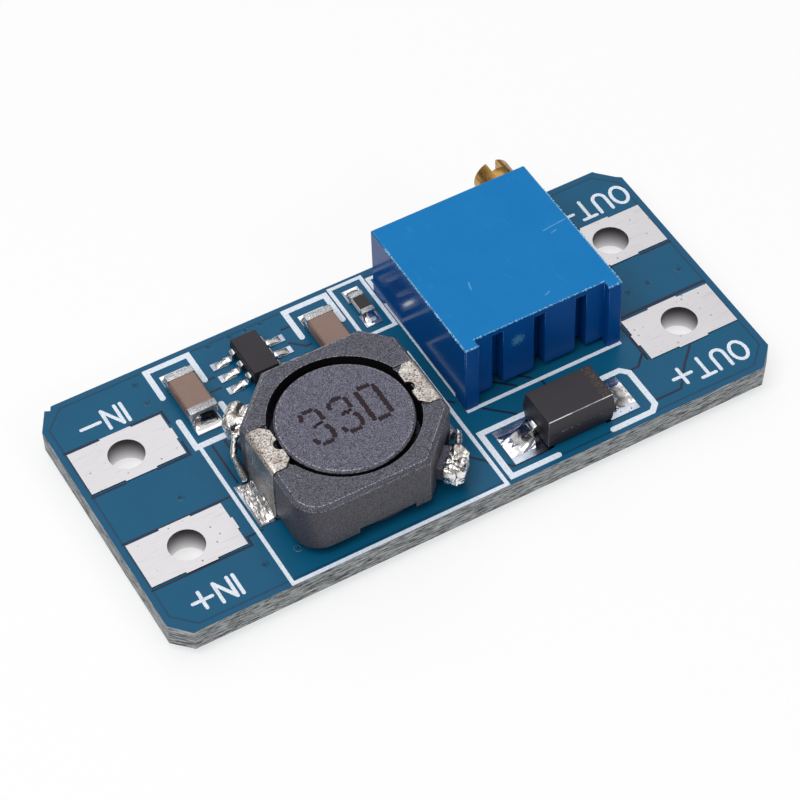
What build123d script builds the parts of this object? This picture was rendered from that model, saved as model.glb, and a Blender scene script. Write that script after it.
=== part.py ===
from build123d import *
import os

# Boost converter module: a small circuit board with four plated wire terminals, a shielded
# power inductor, a six-lead converter chip, a rectifier diode, two ceramic capacitors, a
# chip resistor and a multi-turn trimmer whose brass screw sets the output voltage.
# Millimetres. X runs from the input to the output, Y to the back, Z up. The origin lies
# under the middle of the board, level with the tips of the trimmer's solder joints.

# Circuit board
board_length = 36.0
board_width = 17.0
board_thickness = 1.4
corner_cut = 1.0
corner_nub = 0.28

# White outlines printed on the board, each set off from the part that it goes round
print_thickness = 0.03
print_fine = 0.22
print_bold = 0.33
inductor_print_left = 1.18
inductor_print_right = 1.43
inductor_print_front = 0.64
inductor_print_back = 0.1
capacitor_print_side = 0.45
capacitor_print_end = 1.4
capacitor_print_gap = 0.95
resistor_print_side = 0.56
resistor_print_end = 1.19
trimmer_print_inset = 0.12
trimmer_print_front = 0.07
trimmer_print_back = 0.85
diode_print_left = 2.45
diode_print_right = 2.4
diode_print_front = 0.48
diode_print_back = 0.2
diode_print_corner = 0.38
anode_print_lap = 0.35
cathode_print_gap = 0.8
cathode_print_lap = 0.4
trimmer_print_tick = 0.4

# Wire terminals, each a tinned pad on both faces joined by a plated hole
terminal_hole_radius = 1.0
barrel_wall = 0.16
terminal_from_end = 3.15
terminal_from_side = 5.04
pad_length = 5.45
pad_width = 3.05
pad_thickness = 0.06
pad_step = 0.1
pad_step_length = 1.8
pad_step_width = 0.8

# Tinned lands and solder under the small parts
land_thickness = 0.05

# Shielded inductor: a ferrite ring around a ferrite drum, held by two metal clips
inductor_x = -5.2
inductor_from_front = 0.77
ring_length = 9.9
ring_width = 9.7
ring_bottom = 0.68
ring_top = 3.8
ring_wall = 0.83
ring_big_corner = 2.7
ring_small_corner = 1.45
ring_round_corner = 1.5
ring_bevel = 0.22
ring_recess_width = 3.3
ring_recess_offset = -0.25
drum_sink = 0.1
drum_gap = 0.37
drum_flange_height = 0.85
drum_edge_bevel = 0.12
foot_wall = 0.28
base_bottom = 0.28
base_top = 0.94
base_clearance = 0.05
hub_top = 1.6
horn_proud = 0.73
horn_width = 1.6
horn_bottom = 1.1
horn_top = 2.0
notch_side = 0.95
winding_wire = 0.38
winding_inset = 0.35
winding_depth = 1.2
clip_thickness = 0.2
clip_width = 3.0
clip_proud = 0.03
clip_reach = 1.25
clip_notch_radius = 0.34
clip_foot = 0.8
clip_bend = 0.12
clip_side_clearance = 0.05
inductor_land_reach = 0.9
lump_gap = 0.33
lump_length = 1.05
lump_width = 1.8
lump_skin = 0.12
lump_cut = 0.3
wire_end_radius = 0.18
wire_end_gap = 0.03
wire_end_run = 0.75

# Converter chip in a six-lead package
chip_x = -6.15
chip_from_back = 3.0
chip_length = 2.9
chip_width = 1.6
chip_height = 1.1
chip_lift = 0.1
chip_draft = 7
chip_lead_pitch = 0.95
chip_lead_width = 0.4
chip_lead_thickness = 0.15
chip_lead_span = 2.8
chip_lead_foot = 0.42
chip_lead_bend = 0.07
chip_land_length = 0.95
chip_land_width = 0.5
chip_land_centre = 1.7

# Rectifier diode
diode_x = 6.15
diode_from_front = 0.92
diode_length = 4.1
diode_width = 2.6
diode_height = 2.1
diode_lift = 0.12
diode_draft = 6
diode_lead_width = 1.0
diode_lead_thickness = 0.2
diode_lead_out = 0.42
diode_lead_bend = 0.16
diode_lead_level = 1.0
diode_lead_under = 1.1
anode_land_out = 1.9
cathode_land_out = 1.6
diode_land_in = 0.45
diode_land_width = 2.45

# Ceramic capacitors
input_capacitor_x = -10.25
input_capacitor_from_back = 3.52
output_capacitor_x = -1.87
output_capacitor_from_back = 3.5
capacitor_length = 3.2
capacitor_width = 1.6
capacitor_height = 0.9
capacitor_cap = 0.5
capacitor_land_length = 1.25
capacitor_land_width = 1.6
capacitor_land_overhang = 0.73
capacitor_edge_round = 0.1

# Chip resistor
resistor_x = 0.71
resistor_from_back = 2.3
resistor_length = 1.6
resistor_width = 0.8
resistor_height = 0.42
resistor_cap = 0.3
resistor_land_length = 0.95
resistor_land_width = 1.0
resistor_land_overhang = 0.68
resistor_edge_round = 0.04
overcoat_thickness = 0.06
overcoat_margin = 0.06
end_metal = 0.03

# Multi-turn trimmer, lying on its broad face with its screw at the back
trimmer_x = 6.6
trimmer_from_front = 5.45
trimmer_width = 9.53
trimmer_length = 10.03
trimmer_height = 4.7
trimmer_standoff = 0.35
trimmer_post = 0.8
trimmer_post_depth = 1.2
trimmer_front_recess = 0.5
trimmer_slot_width = 0.68
trimmer_slot_depth = 0.75
trimmer_slot_roof = 0.35
trimmer_side_wall = 0.7
trimmer_screw_side_wall = 0.45
trimmer_front_wall = 0.6
trimmer_back_wall = 1.43
trimmer_roof = 0.42
trimmer_edge_bevel = 0.06
pin_pitch = 2.54
pin_radius = 0.25
pin_cover = 0.15
pin_setback = 0.55
pin_hole_radius = 0.45
pin_tail = 0.6
joint_radius = 0.85
joint_height = 0.45
joint_tip = 0.05

# Trimmer screw and the parts that it drives
screw_from_side = 1.27
screw_from_top = 1.27
screw_head_radius = 1.095
screw_proud = 1.45
screw_slot_width = 0.64
screw_slot_depth = 0.76
screw_end_bevel = 0.14
screw_thread_radius = 0.7
screw_tip_radius = 0.45
screw_tip_length = 0.3
screw_shoulder = 0.4
seal_groove_radius = 0.75
seal_groove_width = 0.5
seal_groove_setback = 0.32
running_clearance = 0.03
carriage_clearance = 0.1
carriage_length = 2.0
carriage_width = 3.1
carriage_arm_reach = 6.2
carriage_arm_height = 0.55
carriage_lift = 0.35
wiper_width = 0.5
wiper_thickness = 0.1
wiper_gap = 0.02
wiper_from_tip = 0.9
element_thickness = 0.6
element_level = 1.0
element_ledge = 0.2
element_clearance = 0.02

# Places and levels worked out from the sizes above
board_front = -board_width / 2
board_back = board_width / 2
inductor_y = board_front + inductor_from_front + ring_width / 2
diode_y = board_front + diode_from_front + diode_width / 2
chip_y = board_back - chip_from_back
input_capacitor_y = board_back - input_capacitor_from_back
output_capacitor_y = board_back - output_capacitor_from_back
resistor_y = board_back - resistor_from_back
trimmer_front = board_front + trimmer_from_front
board_bottom = pin_tail
board_top = board_bottom + board_thickness
land_top = board_top + land_thickness
print_top = board_top + print_thickness

# Radii of the inductor's round parts, from the outside in
ring_bore_radius = min(ring_length, ring_width) / 2 - ring_wall
clip_seat_depth = clip_thickness - clip_proud
base_radius = min(ring_length / 2 - clip_seat_depth, ring_width / 2) - foot_wall
drum_flange_radius = ring_bore_radius - drum_gap
winding_radius = drum_flange_radius - winding_inset
drum_post_radius = winding_radius - winding_depth
drum_top = ring_top - drum_sink

# Distances from the inductor's middle along the line of its horns
corner_face = (ring_length / 2 + ring_width / 2 - ring_big_corner) / 2**0.5
horn_reach = corner_face + horn_proud
lump_start = corner_face + lump_gap
lump_reach = lump_start + lump_length


def block(low, high):
    """An upright box between two opposite corners."""
    size = [b - a for a, b in zip(low, high)]
    middle = [(a + b) / 2 for a, b in zip(low, high)]
    return Pos(*middle) * Box(*size)


def prism(points, bottom, top):
    """A closed outline in plan, raised from one level to another."""
    face = make_face(Polyline(*points, close=True))
    return Pos(0, 0, bottom) * extrude(face, amount=top - bottom)


def along_y(radius, start, end, x, z):
    """A round bar along Y."""
    return Pos(x, (start + end) / 2, z) * Rot(90, 0, 0) * Cylinder(radius, end - start)


def side_lines(points, thickness, bend):
    """The two edges of a strip bent along a path, with the corner radii of each."""
    path = [Vector(*p) for p in points]
    runs = [(b - a).normalized() for a, b in zip(path, path[1:])]
    normals = [Vector(-d.Y, d.X) for d in runs]
    lines = []
    for side in (1, -1):
        corners = [path[0] + normals[0] * (side * thickness / 2)]
        radii = []
        for i, point in enumerate(path[1:-1]):
            before, after = normals[i], normals[i + 1]
            mitre = (before + after) * (side * thickness / 2 / (1 + before.dot(after)))
            corners.append(point + mitre)
            turn = runs[i].cross(runs[i + 1]).Z
            radii.append(bend if turn * side > 0 else bend + thickness)
        corners.append(path[-1] + normals[-1] * (side * thickness / 2))
        lines.append((corners, radii))
    return lines


def bent_strip(points, thickness, width, bend):
    """A strip of sheet metal bent along a path in the XZ plane, its width along Y."""
    (left, left_radii), (right, right_radii) = side_lines(points, thickness, bend)
    left_line = FilletPolyline(*left, radius=left_radii)
    right_line = FilletPolyline(*right, radius=right_radii)
    start = Line(left[0], right[0])
    end = Line(left[-1], right[-1])
    face = make_face([*left_line.edges(), *right_line.edges(), start.edge(), end.edge()])
    return extrude(Plane.XZ * face, amount=width / 2, both=True)


def solder_fillet(reach, rise, length):
    """Solder that climbs a wall: hollow-faced, outwards along +X, its length along Y."""
    wall = Line((0, 0), (0, rise))
    hollow = Bezier((0, rise), (reach * 0.2, rise * 0.2), (reach, 0))
    foot = Line((reach, 0), (0, 0))
    face = make_face([wall.edge(), hollow.edge(), foot.edge()])
    return extrude(Plane.XZ * face, amount=length / 2, both=True)


def turned(shape, x, y, z, angle):
    """A shape turned about Z and then moved."""
    return Pos(x, y, z) * Rot(0, 0, angle) * shape


def moulded_body(length, width, bottom, top, draft):
    """A moulded package whose sides slope away from its parting line at mid height."""
    middle = (bottom + top) / 2
    outline = Rectangle(length, width)
    upper = Pos(0, 0, middle) * extrude(outline, amount=top - middle, taper=draft)
    lower = extrude(outline, amount=middle - bottom, taper=draft)
    return upper + Pos(0, 0, middle) * mirror(lower, about=Plane.XY)


# Board and its terminals


def terminal_places():
    """Name, X side and Y side of the four wire terminals."""
    sides = {"in": -1, "out": 1}
    rows = {"minus": 1, "plus": -1}
    return [(f"terminal_{s}_{r}", sx, ry) for s, sx in sides.items() for r, ry in rows.items()]


def terminal_centre(x_side, y_side):
    """The axis of a terminal's hole."""
    x = x_side * (board_length / 2 - terminal_from_end)
    y = y_side * (board_width / 2 - terminal_from_side)
    return x, y


def pin_places():
    """X of each trimmer pin, from left to right."""
    return [trimmer_x + i * pin_pitch for i in (-1, 0, 1)]


def pin_row():
    """Y of the row of trimmer pins, which stand in the potting behind the pocket's front."""
    return pocket_y()[0] + pin_setback


def board_outline():
    """The board seen from above: cut corners with the stubs of two break-off tabs."""
    x, y, c, n = board_length / 2, board_width / 2, corner_cut, corner_nub
    return [
        (-x, -y + c),
        (-x + c, -y),
        (x - c - 0.1, -y),
        (x, -y + c + 0.2),
        (x, y - c - 0.2),
        (x - n, y - c),
        (x - c - 0.1, y - n / 2),
        (x - c - 0.2, y),
        (-x + c + 0.15, y),
        (-x + c, y - n),
        (-x + c - n, y - n / 2),
        (-x, y - c - 0.4),
    ]


def circuit_board():
    board = prism(board_outline(), board_bottom, board_top)
    through = 4 * board_thickness
    for _, x_side, y_side in terminal_places():
        x, y = terminal_centre(x_side, y_side)
        board -= Pos(x, y) * Cylinder(terminal_hole_radius + barrel_wall, through)
    for x in pin_places():
        board -= Pos(x, pin_row()) * Cylinder(pin_hole_radius, through)
    return board


def upper_pad(x_side):
    """The face seen from above: a rectangle with the small steps of its spokes."""
    pad = Rectangle(pad_length, pad_width)
    pad += Pos(-x_side * pad_step) * Rectangle(pad_step_length, pad_width + 2 * pad_step)
    return pad + Pos(-x_side * pad_step) * Rectangle(pad_length, pad_step_width)


def terminal(x_side, y_side):
    """Both faces of a wire terminal and the plated wall of its hole."""
    x, y = terminal_centre(x_side, y_side)
    upper = Pos(0, 0, board_top) * extrude(upper_pad(x_side), amount=pad_thickness)
    face = Rectangle(pad_length, pad_width)
    lower = Pos(0, 0, board_bottom - pad_thickness) * extrude(face, amount=pad_thickness)
    middle = board_bottom + board_thickness / 2
    barrel = Pos(0, 0, middle) * Cylinder(terminal_hole_radius + barrel_wall, board_thickness)
    hole = Pos(0, 0, middle) * Cylinder(terminal_hole_radius, 4 * board_thickness)
    return Pos(x, y) * (upper + lower + barrel - hole)


# White outlines printed on the board


def stroke(points, width):
    """A printed line with mitred corners and square ends."""
    (left, _), (right, _) = side_lines(points, width, 0)
    return Sketch() + make_face(Polyline(*left, *right[::-1], close=True))


def round_stroke(points, width):
    """A printed line with mitred corners and round ends."""
    shape = stroke(points, width)
    for x, y in (points[0], points[-1]):
        shape += Pos(x, y) * Circle(width / 2)
    return shape


def printed_frame(left, right, front, back):
    """A rectangle printed with a fine line."""
    length, width = right - left, back - front
    outer = Rectangle(length + print_fine, width + print_fine)
    inner = Rectangle(length - print_fine, width - print_fine)
    return Pos((left + right) / 2, (front + back) / 2) * (outer - inner)


def inductor_frame():
    """The rectangle printed around the inductor."""
    left, right = inductor_x - ring_length / 2, inductor_x + ring_length / 2
    front, back = inductor_y - ring_width / 2, inductor_y + ring_width / 2
    return printed_frame(
        left - inductor_print_left,
        right + inductor_print_right,
        front - inductor_print_front,
        back + inductor_print_back,
    )


def capacitor_brackets(x, y):
    """Two facing brackets printed around a capacitor."""
    out = capacitor_width / 2 + capacitor_print_side
    deep = capacitor_length / 2 + capacitor_print_end
    brackets = []
    for side in (-1, 1):
        near, far = y + side * capacitor_print_gap, y + side * deep
        brackets.append([(x - out, near), (x - out, far), (x + out, far), (x + out, near)])
    return brackets


def resistor_frame():
    """The rectangle printed around the resistor."""
    out = resistor_width / 2 + resistor_print_side
    deep = resistor_length / 2 + resistor_print_end
    return printed_frame(resistor_x - out, resistor_x + out, resistor_y - deep, resistor_y + deep)


def trimmer_lines():
    """The outline of the trimmer, open at the back, with a short tick inside its corner."""
    left, right = trimmer_left() + trimmer_print_inset, trimmer_right() - trimmer_print_inset
    front, back = trimmer_front - trimmer_print_front, trimmer_back() + trimmer_print_back
    tick, end = trimmer_print_tick, back - trimmer_print_back
    outline = [(left + tick, back), (left, back), (left, front), (right, front), (right, end)]
    return [outline, [(left, end + tick / 2), (left + tick, end + tick / 2)]]


def diode_brackets():
    """Square bracket at the anode end, bracket with cut corners at the cathode end."""
    start = diode_x - diode_length / 2 - diode_print_left
    end = diode_x + diode_length / 2 + diode_print_right
    low = diode_y - diode_width / 2 - diode_print_front
    high = diode_y + diode_width / 2 + diode_print_back
    cut, half = diode_print_corner, diode_length / 2
    inner = diode_x - half + anode_print_lap
    anode = [(inner, high), (start, high), (start, low), (inner, low)]
    over, under = diode_x + half + cathode_print_gap, diode_x + half - cathode_print_lap
    cathode = [(over, high), (end - cut, high), (end, high - cut)]
    cathode += [(end, low + cut), (end - cut, low), (under, low)]
    return [anode, cathode]


def legend_print():
    bold = capacitor_brackets(input_capacitor_x, input_capacitor_y)
    bold += capacitor_brackets(output_capacitor_x, output_capacitor_y)
    bold += diode_brackets()
    shape = inductor_frame() + resistor_frame()
    for points in trimmer_lines():
        shape += stroke(points, print_fine)
    for points in bold:
        shape += round_stroke(points, print_bold)
    return Pos(0, 0, board_top) * extrude(shape, amount=print_thickness)


# Tinned lands


def chip_lead_places():
    """Side, X sign and Y of each lead of the converter chip, going round it."""
    steps = (-1, 0, 1)
    left = [(-1, chip_y + s * chip_lead_pitch) for s in steps[::-1]]
    right = [(1, chip_y + s * chip_lead_pitch) for s in steps]
    return left + right


def land(x, y, length, width):
    """A thin tinned land, its length along X."""
    return Pos(x, y, board_top + land_thickness / 2) * Box(length, width, land_thickness)


def end_land_y(y, side, length, overhang, land_length):
    """Y of the land under one end of a chip part that lies along Y."""
    return y + side * (length / 2 + overhang - land_length / 2)


def capacitor_land(x, y, side):
    """The land under one end of a capacitor."""
    lap, length = capacitor_land_overhang, capacitor_land_length
    at = end_land_y(y, side, capacitor_length, lap, length)
    return land(x, at, capacitor_land_width, length)


def resistor_land(side):
    """The land under one end of the resistor."""
    lap, length = resistor_land_overhang, resistor_land_length
    at = end_land_y(resistor_y, side, resistor_length, lap, length)
    return land(resistor_x, at, resistor_land_width, length)


def diode_land(side):
    """The land under one lead of the diode."""
    length = diode_land_in + diode_land_outside(side)
    middle = diode_length / 2 - diode_land_in + length / 2
    return land(diode_x + side * middle, diode_y, length, diode_land_width)


def diode_land_outside(side):
    """How far a land reaches beyond its end of the diode's body."""
    return cathode_land_out if side > 0 else anode_land_out


def inductor_land(side):
    """The land under one clip of the inductor."""
    length = clip_foot + inductor_land_reach
    middle = clip_outside() + inductor_land_reach - length / 2
    return land(inductor_x + side * middle, inductor_y, length, clip_width)


def solder_lands():
    lands = []
    for side in (-1, 1):
        lands.append(capacitor_land(input_capacitor_x, input_capacitor_y, side))
        lands.append(capacitor_land(output_capacitor_x, output_capacitor_y, side))
        lands += [resistor_land(side), diode_land(side), inductor_land(side)]
    for side, y in chip_lead_places():
        x = chip_x + side * chip_land_centre
        lands.append(land(x, y, chip_land_length, chip_land_width))
    return Compound(children=lands)


# Inductor


def clip_outside():
    """Distance from the inductor's middle to the outer face of a clip."""
    return ring_length / 2 + clip_proud


def level(height):
    """A height above the board's top face, in the part's frame."""
    return board_top + height


def inductor_place():
    return Pos(inductor_x, inductor_y, board_top)


def ring_outline():
    """The ring's square outline with two big cuts, one small cut and one round corner."""
    x, y = ring_length / 2, ring_width / 2
    big, small, soft = ring_big_corner, ring_small_corner, ring_round_corner
    straight = Polyline(
        (-x + soft, -y),
        (x - big, -y),
        (x, -y + big),
        (x, y - small),
        (x - small, y),
        (-x + big, y),
        (-x, y - big),
        (-x, -y + soft),
    )
    corner = RadiusArc((-x, -y + soft), (-x + soft, -y), -soft)
    return make_face([*straight.edges(), corner.edge()])


def ring_notches():
    """What the ring is cut away for at two opposite corners: the horns of the drum's base."""
    near = -horn_width / 2 - base_clearance
    far = horn_width / 2 + notch_side
    cut = block((0, near, 0), (2 * ring_length, far, horn_top + base_clearance))
    return Rot(0, 0, -45) * cut + Rot(0, 0, 135) * cut


def clip_seats():
    """What the ring is cut away for on both sides and on its top: the sunk clips."""
    half = clip_width / 2 + clip_side_clearance
    low = ring_top - clip_seat_depth
    seats = block((-ring_length, -half, low), (ring_length, half, 2 * ring_top))
    for side in (-1, 1):
        near, far = sorted((side * (ring_length / 2 - clip_seat_depth), side * ring_length))
        seats += block((near, -half, 0), (far, half, 2 * ring_top))
    return seats


def inductor_ring():
    body = Pos(0, 0, ring_bottom) * extrude(ring_outline(), amount=ring_top - ring_bottom)
    body = chamfer(body.faces().sort_by(Axis.Z)[-1].edges(), ring_bevel)
    body -= Cylinder(ring_bore_radius, 3 * ring_top)
    foot_room = base_top + base_clearance
    body -= Cylinder(base_radius + base_clearance, 2 * foot_room)
    left = ring_recess_offset - ring_recess_width / 2
    body -= block((left, -ring_width, 0), (left + ring_recess_width, 0, foot_room))
    return inductor_place() * (body - ring_notches() - clip_seats())


def upright(radius, bottom, top):
    """A round bar along the inductor's axis between two levels."""
    return Pos(0, 0, (bottom + top) / 2) * Cylinder(radius, top - bottom)


def drum_horns(reach):
    """The two arms of the drum's base that carry the winding's ends."""
    half = horn_width / 2
    arms = block((-reach, -half, horn_bottom), (reach, half, horn_top))
    return Rot(0, 0, -45) * arms


def flange_bottom():
    return drum_top - drum_flange_height


def inductor_drum_core():
    """Foot, hub with its two horns, post and top flange, in one piece."""
    base = upright(base_radius, base_bottom, base_top)
    hub = upright(ring_bore_radius - base_clearance, base_top, hub_top)
    horns = drum_horns(horn_reach) - upright(winding_radius + base_clearance, hub_top, drum_top)
    post = upright(drum_post_radius, hub_top, flange_bottom())
    flange = upright(drum_flange_radius, flange_bottom(), drum_top)
    rim = flange.edges().filter_by(GeomType.CIRCLE).sort_by(Axis.Z)[-1]
    return inductor_place() * (base + hub + horns + post + chamfer(rim, drum_edge_bevel))


def inductor_winding():
    """Layers of round wire around the post, as one solid with a ridge for each turn."""
    room = flange_bottom() - hub_top
    turns = max(int(room / winding_wire), 1)
    pitch = room / turns
    edge = winding_radius - pitch * 0.3
    outline = [(drum_post_radius, hub_top), (edge, hub_top)]
    for i in range(turns):
        low = hub_top + i * pitch
        outline += [(winding_radius, low + pitch / 2), (edge, low + pitch)]
    outline.append((drum_post_radius, flange_bottom()))
    face = Plane.XZ * make_face(Polyline(*outline, close=True))
    return inductor_place() * revolve(face, Axis.Z)


def clip_path():
    """Middle line of a clip: over the ring's top, down its side and under its foot."""
    outer = clip_outside() - clip_thickness / 2
    top = ring_top + clip_proud - clip_thickness / 2
    low = land_thickness + clip_thickness / 2
    inner = clip_outside() - clip_reach
    return [(inner, top), (outer, top), (outer, low), (clip_outside() - clip_foot, low)]


def inductor_clip(angle):
    strip = bent_strip(clip_path(), clip_thickness, clip_width, clip_bend)
    inner = clip_outside() - clip_reach
    strip -= Pos(inner, 0, ring_top) * Cylinder(clip_notch_radius, 1)
    for side in (-1, 1):
        y = side * clip_width / 2
        cut = clip_reach * 0.35
        corner = [(inner, y), (inner + cut, y), (inner, y - side * cut)]
        strip -= prism(corner, ring_top - 0.5, ring_top + 0.5)
    return turned(strip, inductor_x, inductor_y, board_top, angle)


def solder_lump():
    """A cold lump of solder around the end of a horn, its top and upright edges cut off."""
    half = lump_width / 2
    low, high = horn_bottom - lump_skin, horn_top + lump_skin
    lump = block((lump_start, -half, low), (lump_reach, half, high))
    lump = chamfer(lump.edges().filter_by(Axis.Z).sort_by(Axis.X)[-2:], lump_cut)
    lump = chamfer(lump.faces().sort_by(Axis.Z)[-1].edges(), lump_skin * 0.8)
    return Rot(0, 0, -45) * lump


def wire_end_path():
    """Middle line of the bare wire: out of the lump, past the ring's corner, to the land."""
    middle = Rot(0, 0, -45) * Pos((lump_start + lump_reach) / 2, lump_width * 0.2)
    outside = clip_outside() + wire_end_radius + wire_end_gap
    low = land_thickness + wire_end_radius + wire_end_gap
    side = -clip_width / 2
    start = middle.position + Vector(0, 0, (horn_bottom + horn_top) / 2 + 0.1)
    bend = outside + wire_end_radius, side - wire_end_run, start.Z - wire_end_radius
    return Polyline(start, bend, (outside, side, low))


def inductor_wire_end(angle):
    """The winding's end: a solder lump on the drum's horn, and bare wire down to the land."""
    path = wire_end_path()
    wire = sweep((path ^ 0) * Circle(wire_end_radius), path=path, transition=Transition.RIGHT)
    piece = solder_lump() + wire - drum_horns(horn_reach)
    return turned(piece, inductor_x, inductor_y, board_top, angle)


def inductor_solder(angle):
    reach = inductor_land_reach * 0.85
    fillet_shape = solder_fillet(reach, 0.9, clip_width * 0.94)
    placed = Pos(clip_outside(), 0, land_thickness) * fillet_shape
    return turned(placed, inductor_x, inductor_y, board_top, angle)


# Converter chip


def converter_chip_body():
    body = moulded_body(chip_width, chip_length, chip_lift, chip_height, chip_draft)
    return Pos(chip_x, chip_y, board_top) * body


def converter_chip_lead(side, y):
    """A gull-wing lead: out of the body, down, and flat on its land."""
    exit_level = (chip_lift + chip_height) / 2
    low = land_thickness + chip_lead_thickness / 2
    end = chip_lead_span / 2
    heel = end - chip_lead_foot
    knee = chip_width / 2 + chip_lead_thickness
    path = [(chip_width / 2 - 0.1, exit_level), (knee, exit_level), (heel, low), (end, low)]
    strip = bent_strip(path, chip_lead_thickness, chip_lead_width, chip_lead_bend)
    return turned(strip, chip_x, y, board_top, 0 if side > 0 else 180) - converter_chip_body()


def converter_chip_solder():
    joints = []
    for side, y in chip_lead_places():
        reach = chip_land_centre + chip_land_length / 2 - chip_lead_span / 2
        toe = solder_fillet(reach * 0.9, chip_lead_thickness, chip_lead_width)
        at = Pos(chip_lead_span / 2, 0, land_thickness) * toe
        joints.append(turned(at, chip_x, y, board_top, 0 if side > 0 else 180))
    return Compound(children=joints)


# Diode


def diode_body():
    body = moulded_body(diode_length, diode_width, diode_lift, diode_height, diode_draft)
    return Pos(diode_x, diode_y, board_top) * body


def diode_lead(side):
    """A lead that leaves at mid height, turns down and tucks under the body."""
    out = diode_length / 2 + diode_lead_out - diode_lead_thickness / 2
    low = land_thickness + diode_lead_thickness / 2
    inside = diode_length / 2 - 0.3
    under = diode_length / 2 + diode_lead_out - diode_lead_under
    path = [(inside, diode_lead_level), (out, diode_lead_level), (out, low), (under, low)]
    strip = bent_strip(path, diode_lead_thickness, diode_lead_width, diode_lead_bend)
    return turned(strip, diode_x, diode_y, board_top, 0 if side > 0 else 180) - diode_body()


def diode_solder(side):
    reach = diode_land_outside(side) - diode_lead_out
    toe = solder_fillet(reach * 0.92, diode_lead_level * 0.75, diode_lead_width * 1.2)
    placed = Pos(diode_length / 2 + diode_lead_out, 0, land_thickness) * toe
    return turned(placed, diode_x, diode_y, board_top, 0 if side > 0 else 180)


# Chip parts that lie along Y: capacitors and the resistor


def chip_core(x, y, length, width, height, soft):
    """The ceramic body, just short of its end metal and just clear of its lands."""
    core = Box(width - 2 * end_metal, length - 2 * end_metal, height - 2 * end_metal)
    return Pos(x, y, land_top + height / 2) * chamfer(core.edges(), soft * 0.8)


def chip_end(x, y, side, length, width, height, cap, soft):
    """The metal cup over one end of a chip part."""
    cup = Pos(x, y + side * (length - cap) / 2, land_top + height / 2) * Box(width, cap, height)
    outer = cup.faces().sort_by(Axis.Y)[0 if side < 0 else -1]
    cup = fillet(outer.edges(), soft)
    return cup - chip_core(x, y, length, width, height, soft)


def chip_solder(x, y, length, width, height, overhang):
    """Solder up both ends of a chip part."""
    joints = []
    for side in (-1, 1):
        toe = solder_fillet(overhang * 0.9, height * 0.62, width * 0.94)
        joints.append(turned(toe, x, y + side * length / 2, land_top, 90 * side))
    return Compound(children=joints)


def capacitor_pieces(name, x, y):
    sizes = capacitor_length, capacitor_width, capacitor_height
    soft = capacitor_edge_round
    return {
        f"{name}_body": chip_core(x, y, *sizes, soft),
        f"{name}_end_front": chip_end(x, y, -1, *sizes, capacitor_cap, soft),
        f"{name}_end_back": chip_end(x, y, 1, *sizes, capacitor_cap, soft),
        f"{name}_solder": chip_solder(x, y, *sizes, capacitor_land_overhang),
    }


def resistor_pieces():
    sizes = resistor_length, resistor_width, resistor_height
    x, y, soft = resistor_x, resistor_y, resistor_edge_round
    coat_length = resistor_length - 2 * resistor_cap - 2 * overcoat_margin
    coat_width = resistor_width - 2 * overcoat_margin
    coat_level = land_top + resistor_height - end_metal + overcoat_thickness / 2
    return {
        "resistor_body": chip_core(x, y, *sizes, soft),
        "resistor_overcoat": Pos(x, y, coat_level) * Box(coat_width, coat_length, overcoat_thickness),
        "resistor_end_front": chip_end(x, y, -1, *sizes, resistor_cap, soft),
        "resistor_end_back": chip_end(x, y, 1, *sizes, resistor_cap, soft),
        "resistor_solder": chip_solder(x, y, *sizes, resistor_land_overhang),
    }


# Trimmer


def trimmer_left():
    return trimmer_x - trimmer_width / 2


def trimmer_right():
    return trimmer_x + trimmer_width / 2


def trimmer_back():
    return trimmer_front + trimmer_length


def rib_front():
    """Front face of the ribs, behind the two corner posts."""
    return trimmer_front + trimmer_front_recess


def slot_floor():
    """Y of the bottom of the slots between the ribs."""
    return rib_front() + trimmer_slot_depth


def cavity_x():
    return trimmer_left() + trimmer_side_wall, trimmer_right() - trimmer_screw_side_wall


def cavity_y():
    return slot_floor() + trimmer_front_wall, trimmer_back() - trimmer_back_wall


def pocket_y():
    """The element's pocket is a little longer than the space above it, which leaves a ledge."""
    front, back = cavity_y()
    return front - element_ledge, back + element_ledge


def screw_x():
    return trimmer_right() - screw_from_side


def screw_z():
    return level(trimmer_height - screw_from_top)


def element_top():
    return level(element_level + element_thickness)


def trimmer_shell():
    """The moulded block with its corner posts, before anything is cut into it."""
    left, right, front, back = trimmer_left(), trimmer_right(), trimmer_front, trimmer_back()
    body = block((left, front, level(trimmer_standoff)), (right, back, level(trimmer_height)))
    edges = body.faces().sort_by(Axis.Z)[-1].edges() + body.edges().filter_by(Axis.Z)
    body = chamfer(edges, trimmer_edge_bevel)
    for x in (left, right - trimmer_post):
        for y in (front, back - trimmer_post_depth):
            high = (x + trimmer_post, y + trimmer_post_depth, level(trimmer_standoff + 0.5))
            post = block((x, y, print_top), high)
            body += chamfer(post.edges().filter_by(Axis.Z), trimmer_edge_bevel)
    return body


def trimmer_front_cuts():
    """What is open between the posts: the recess in front of the ribs, and their slots."""
    left, right = trimmer_left() + trimmer_post, trimmer_right() - trimmer_post
    low = board_top - 1
    cuts = block((left, trimmer_front - 1, low), (right, rib_front(), level(trimmer_height + 1)))
    roof = level(trimmer_height - trimmer_slot_roof)
    half = trimmer_slot_width / 2
    for x in pin_places():
        cuts += block((x - half, trimmer_front, low), (x + half, slot_floor(), roof))
    return cuts


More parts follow.
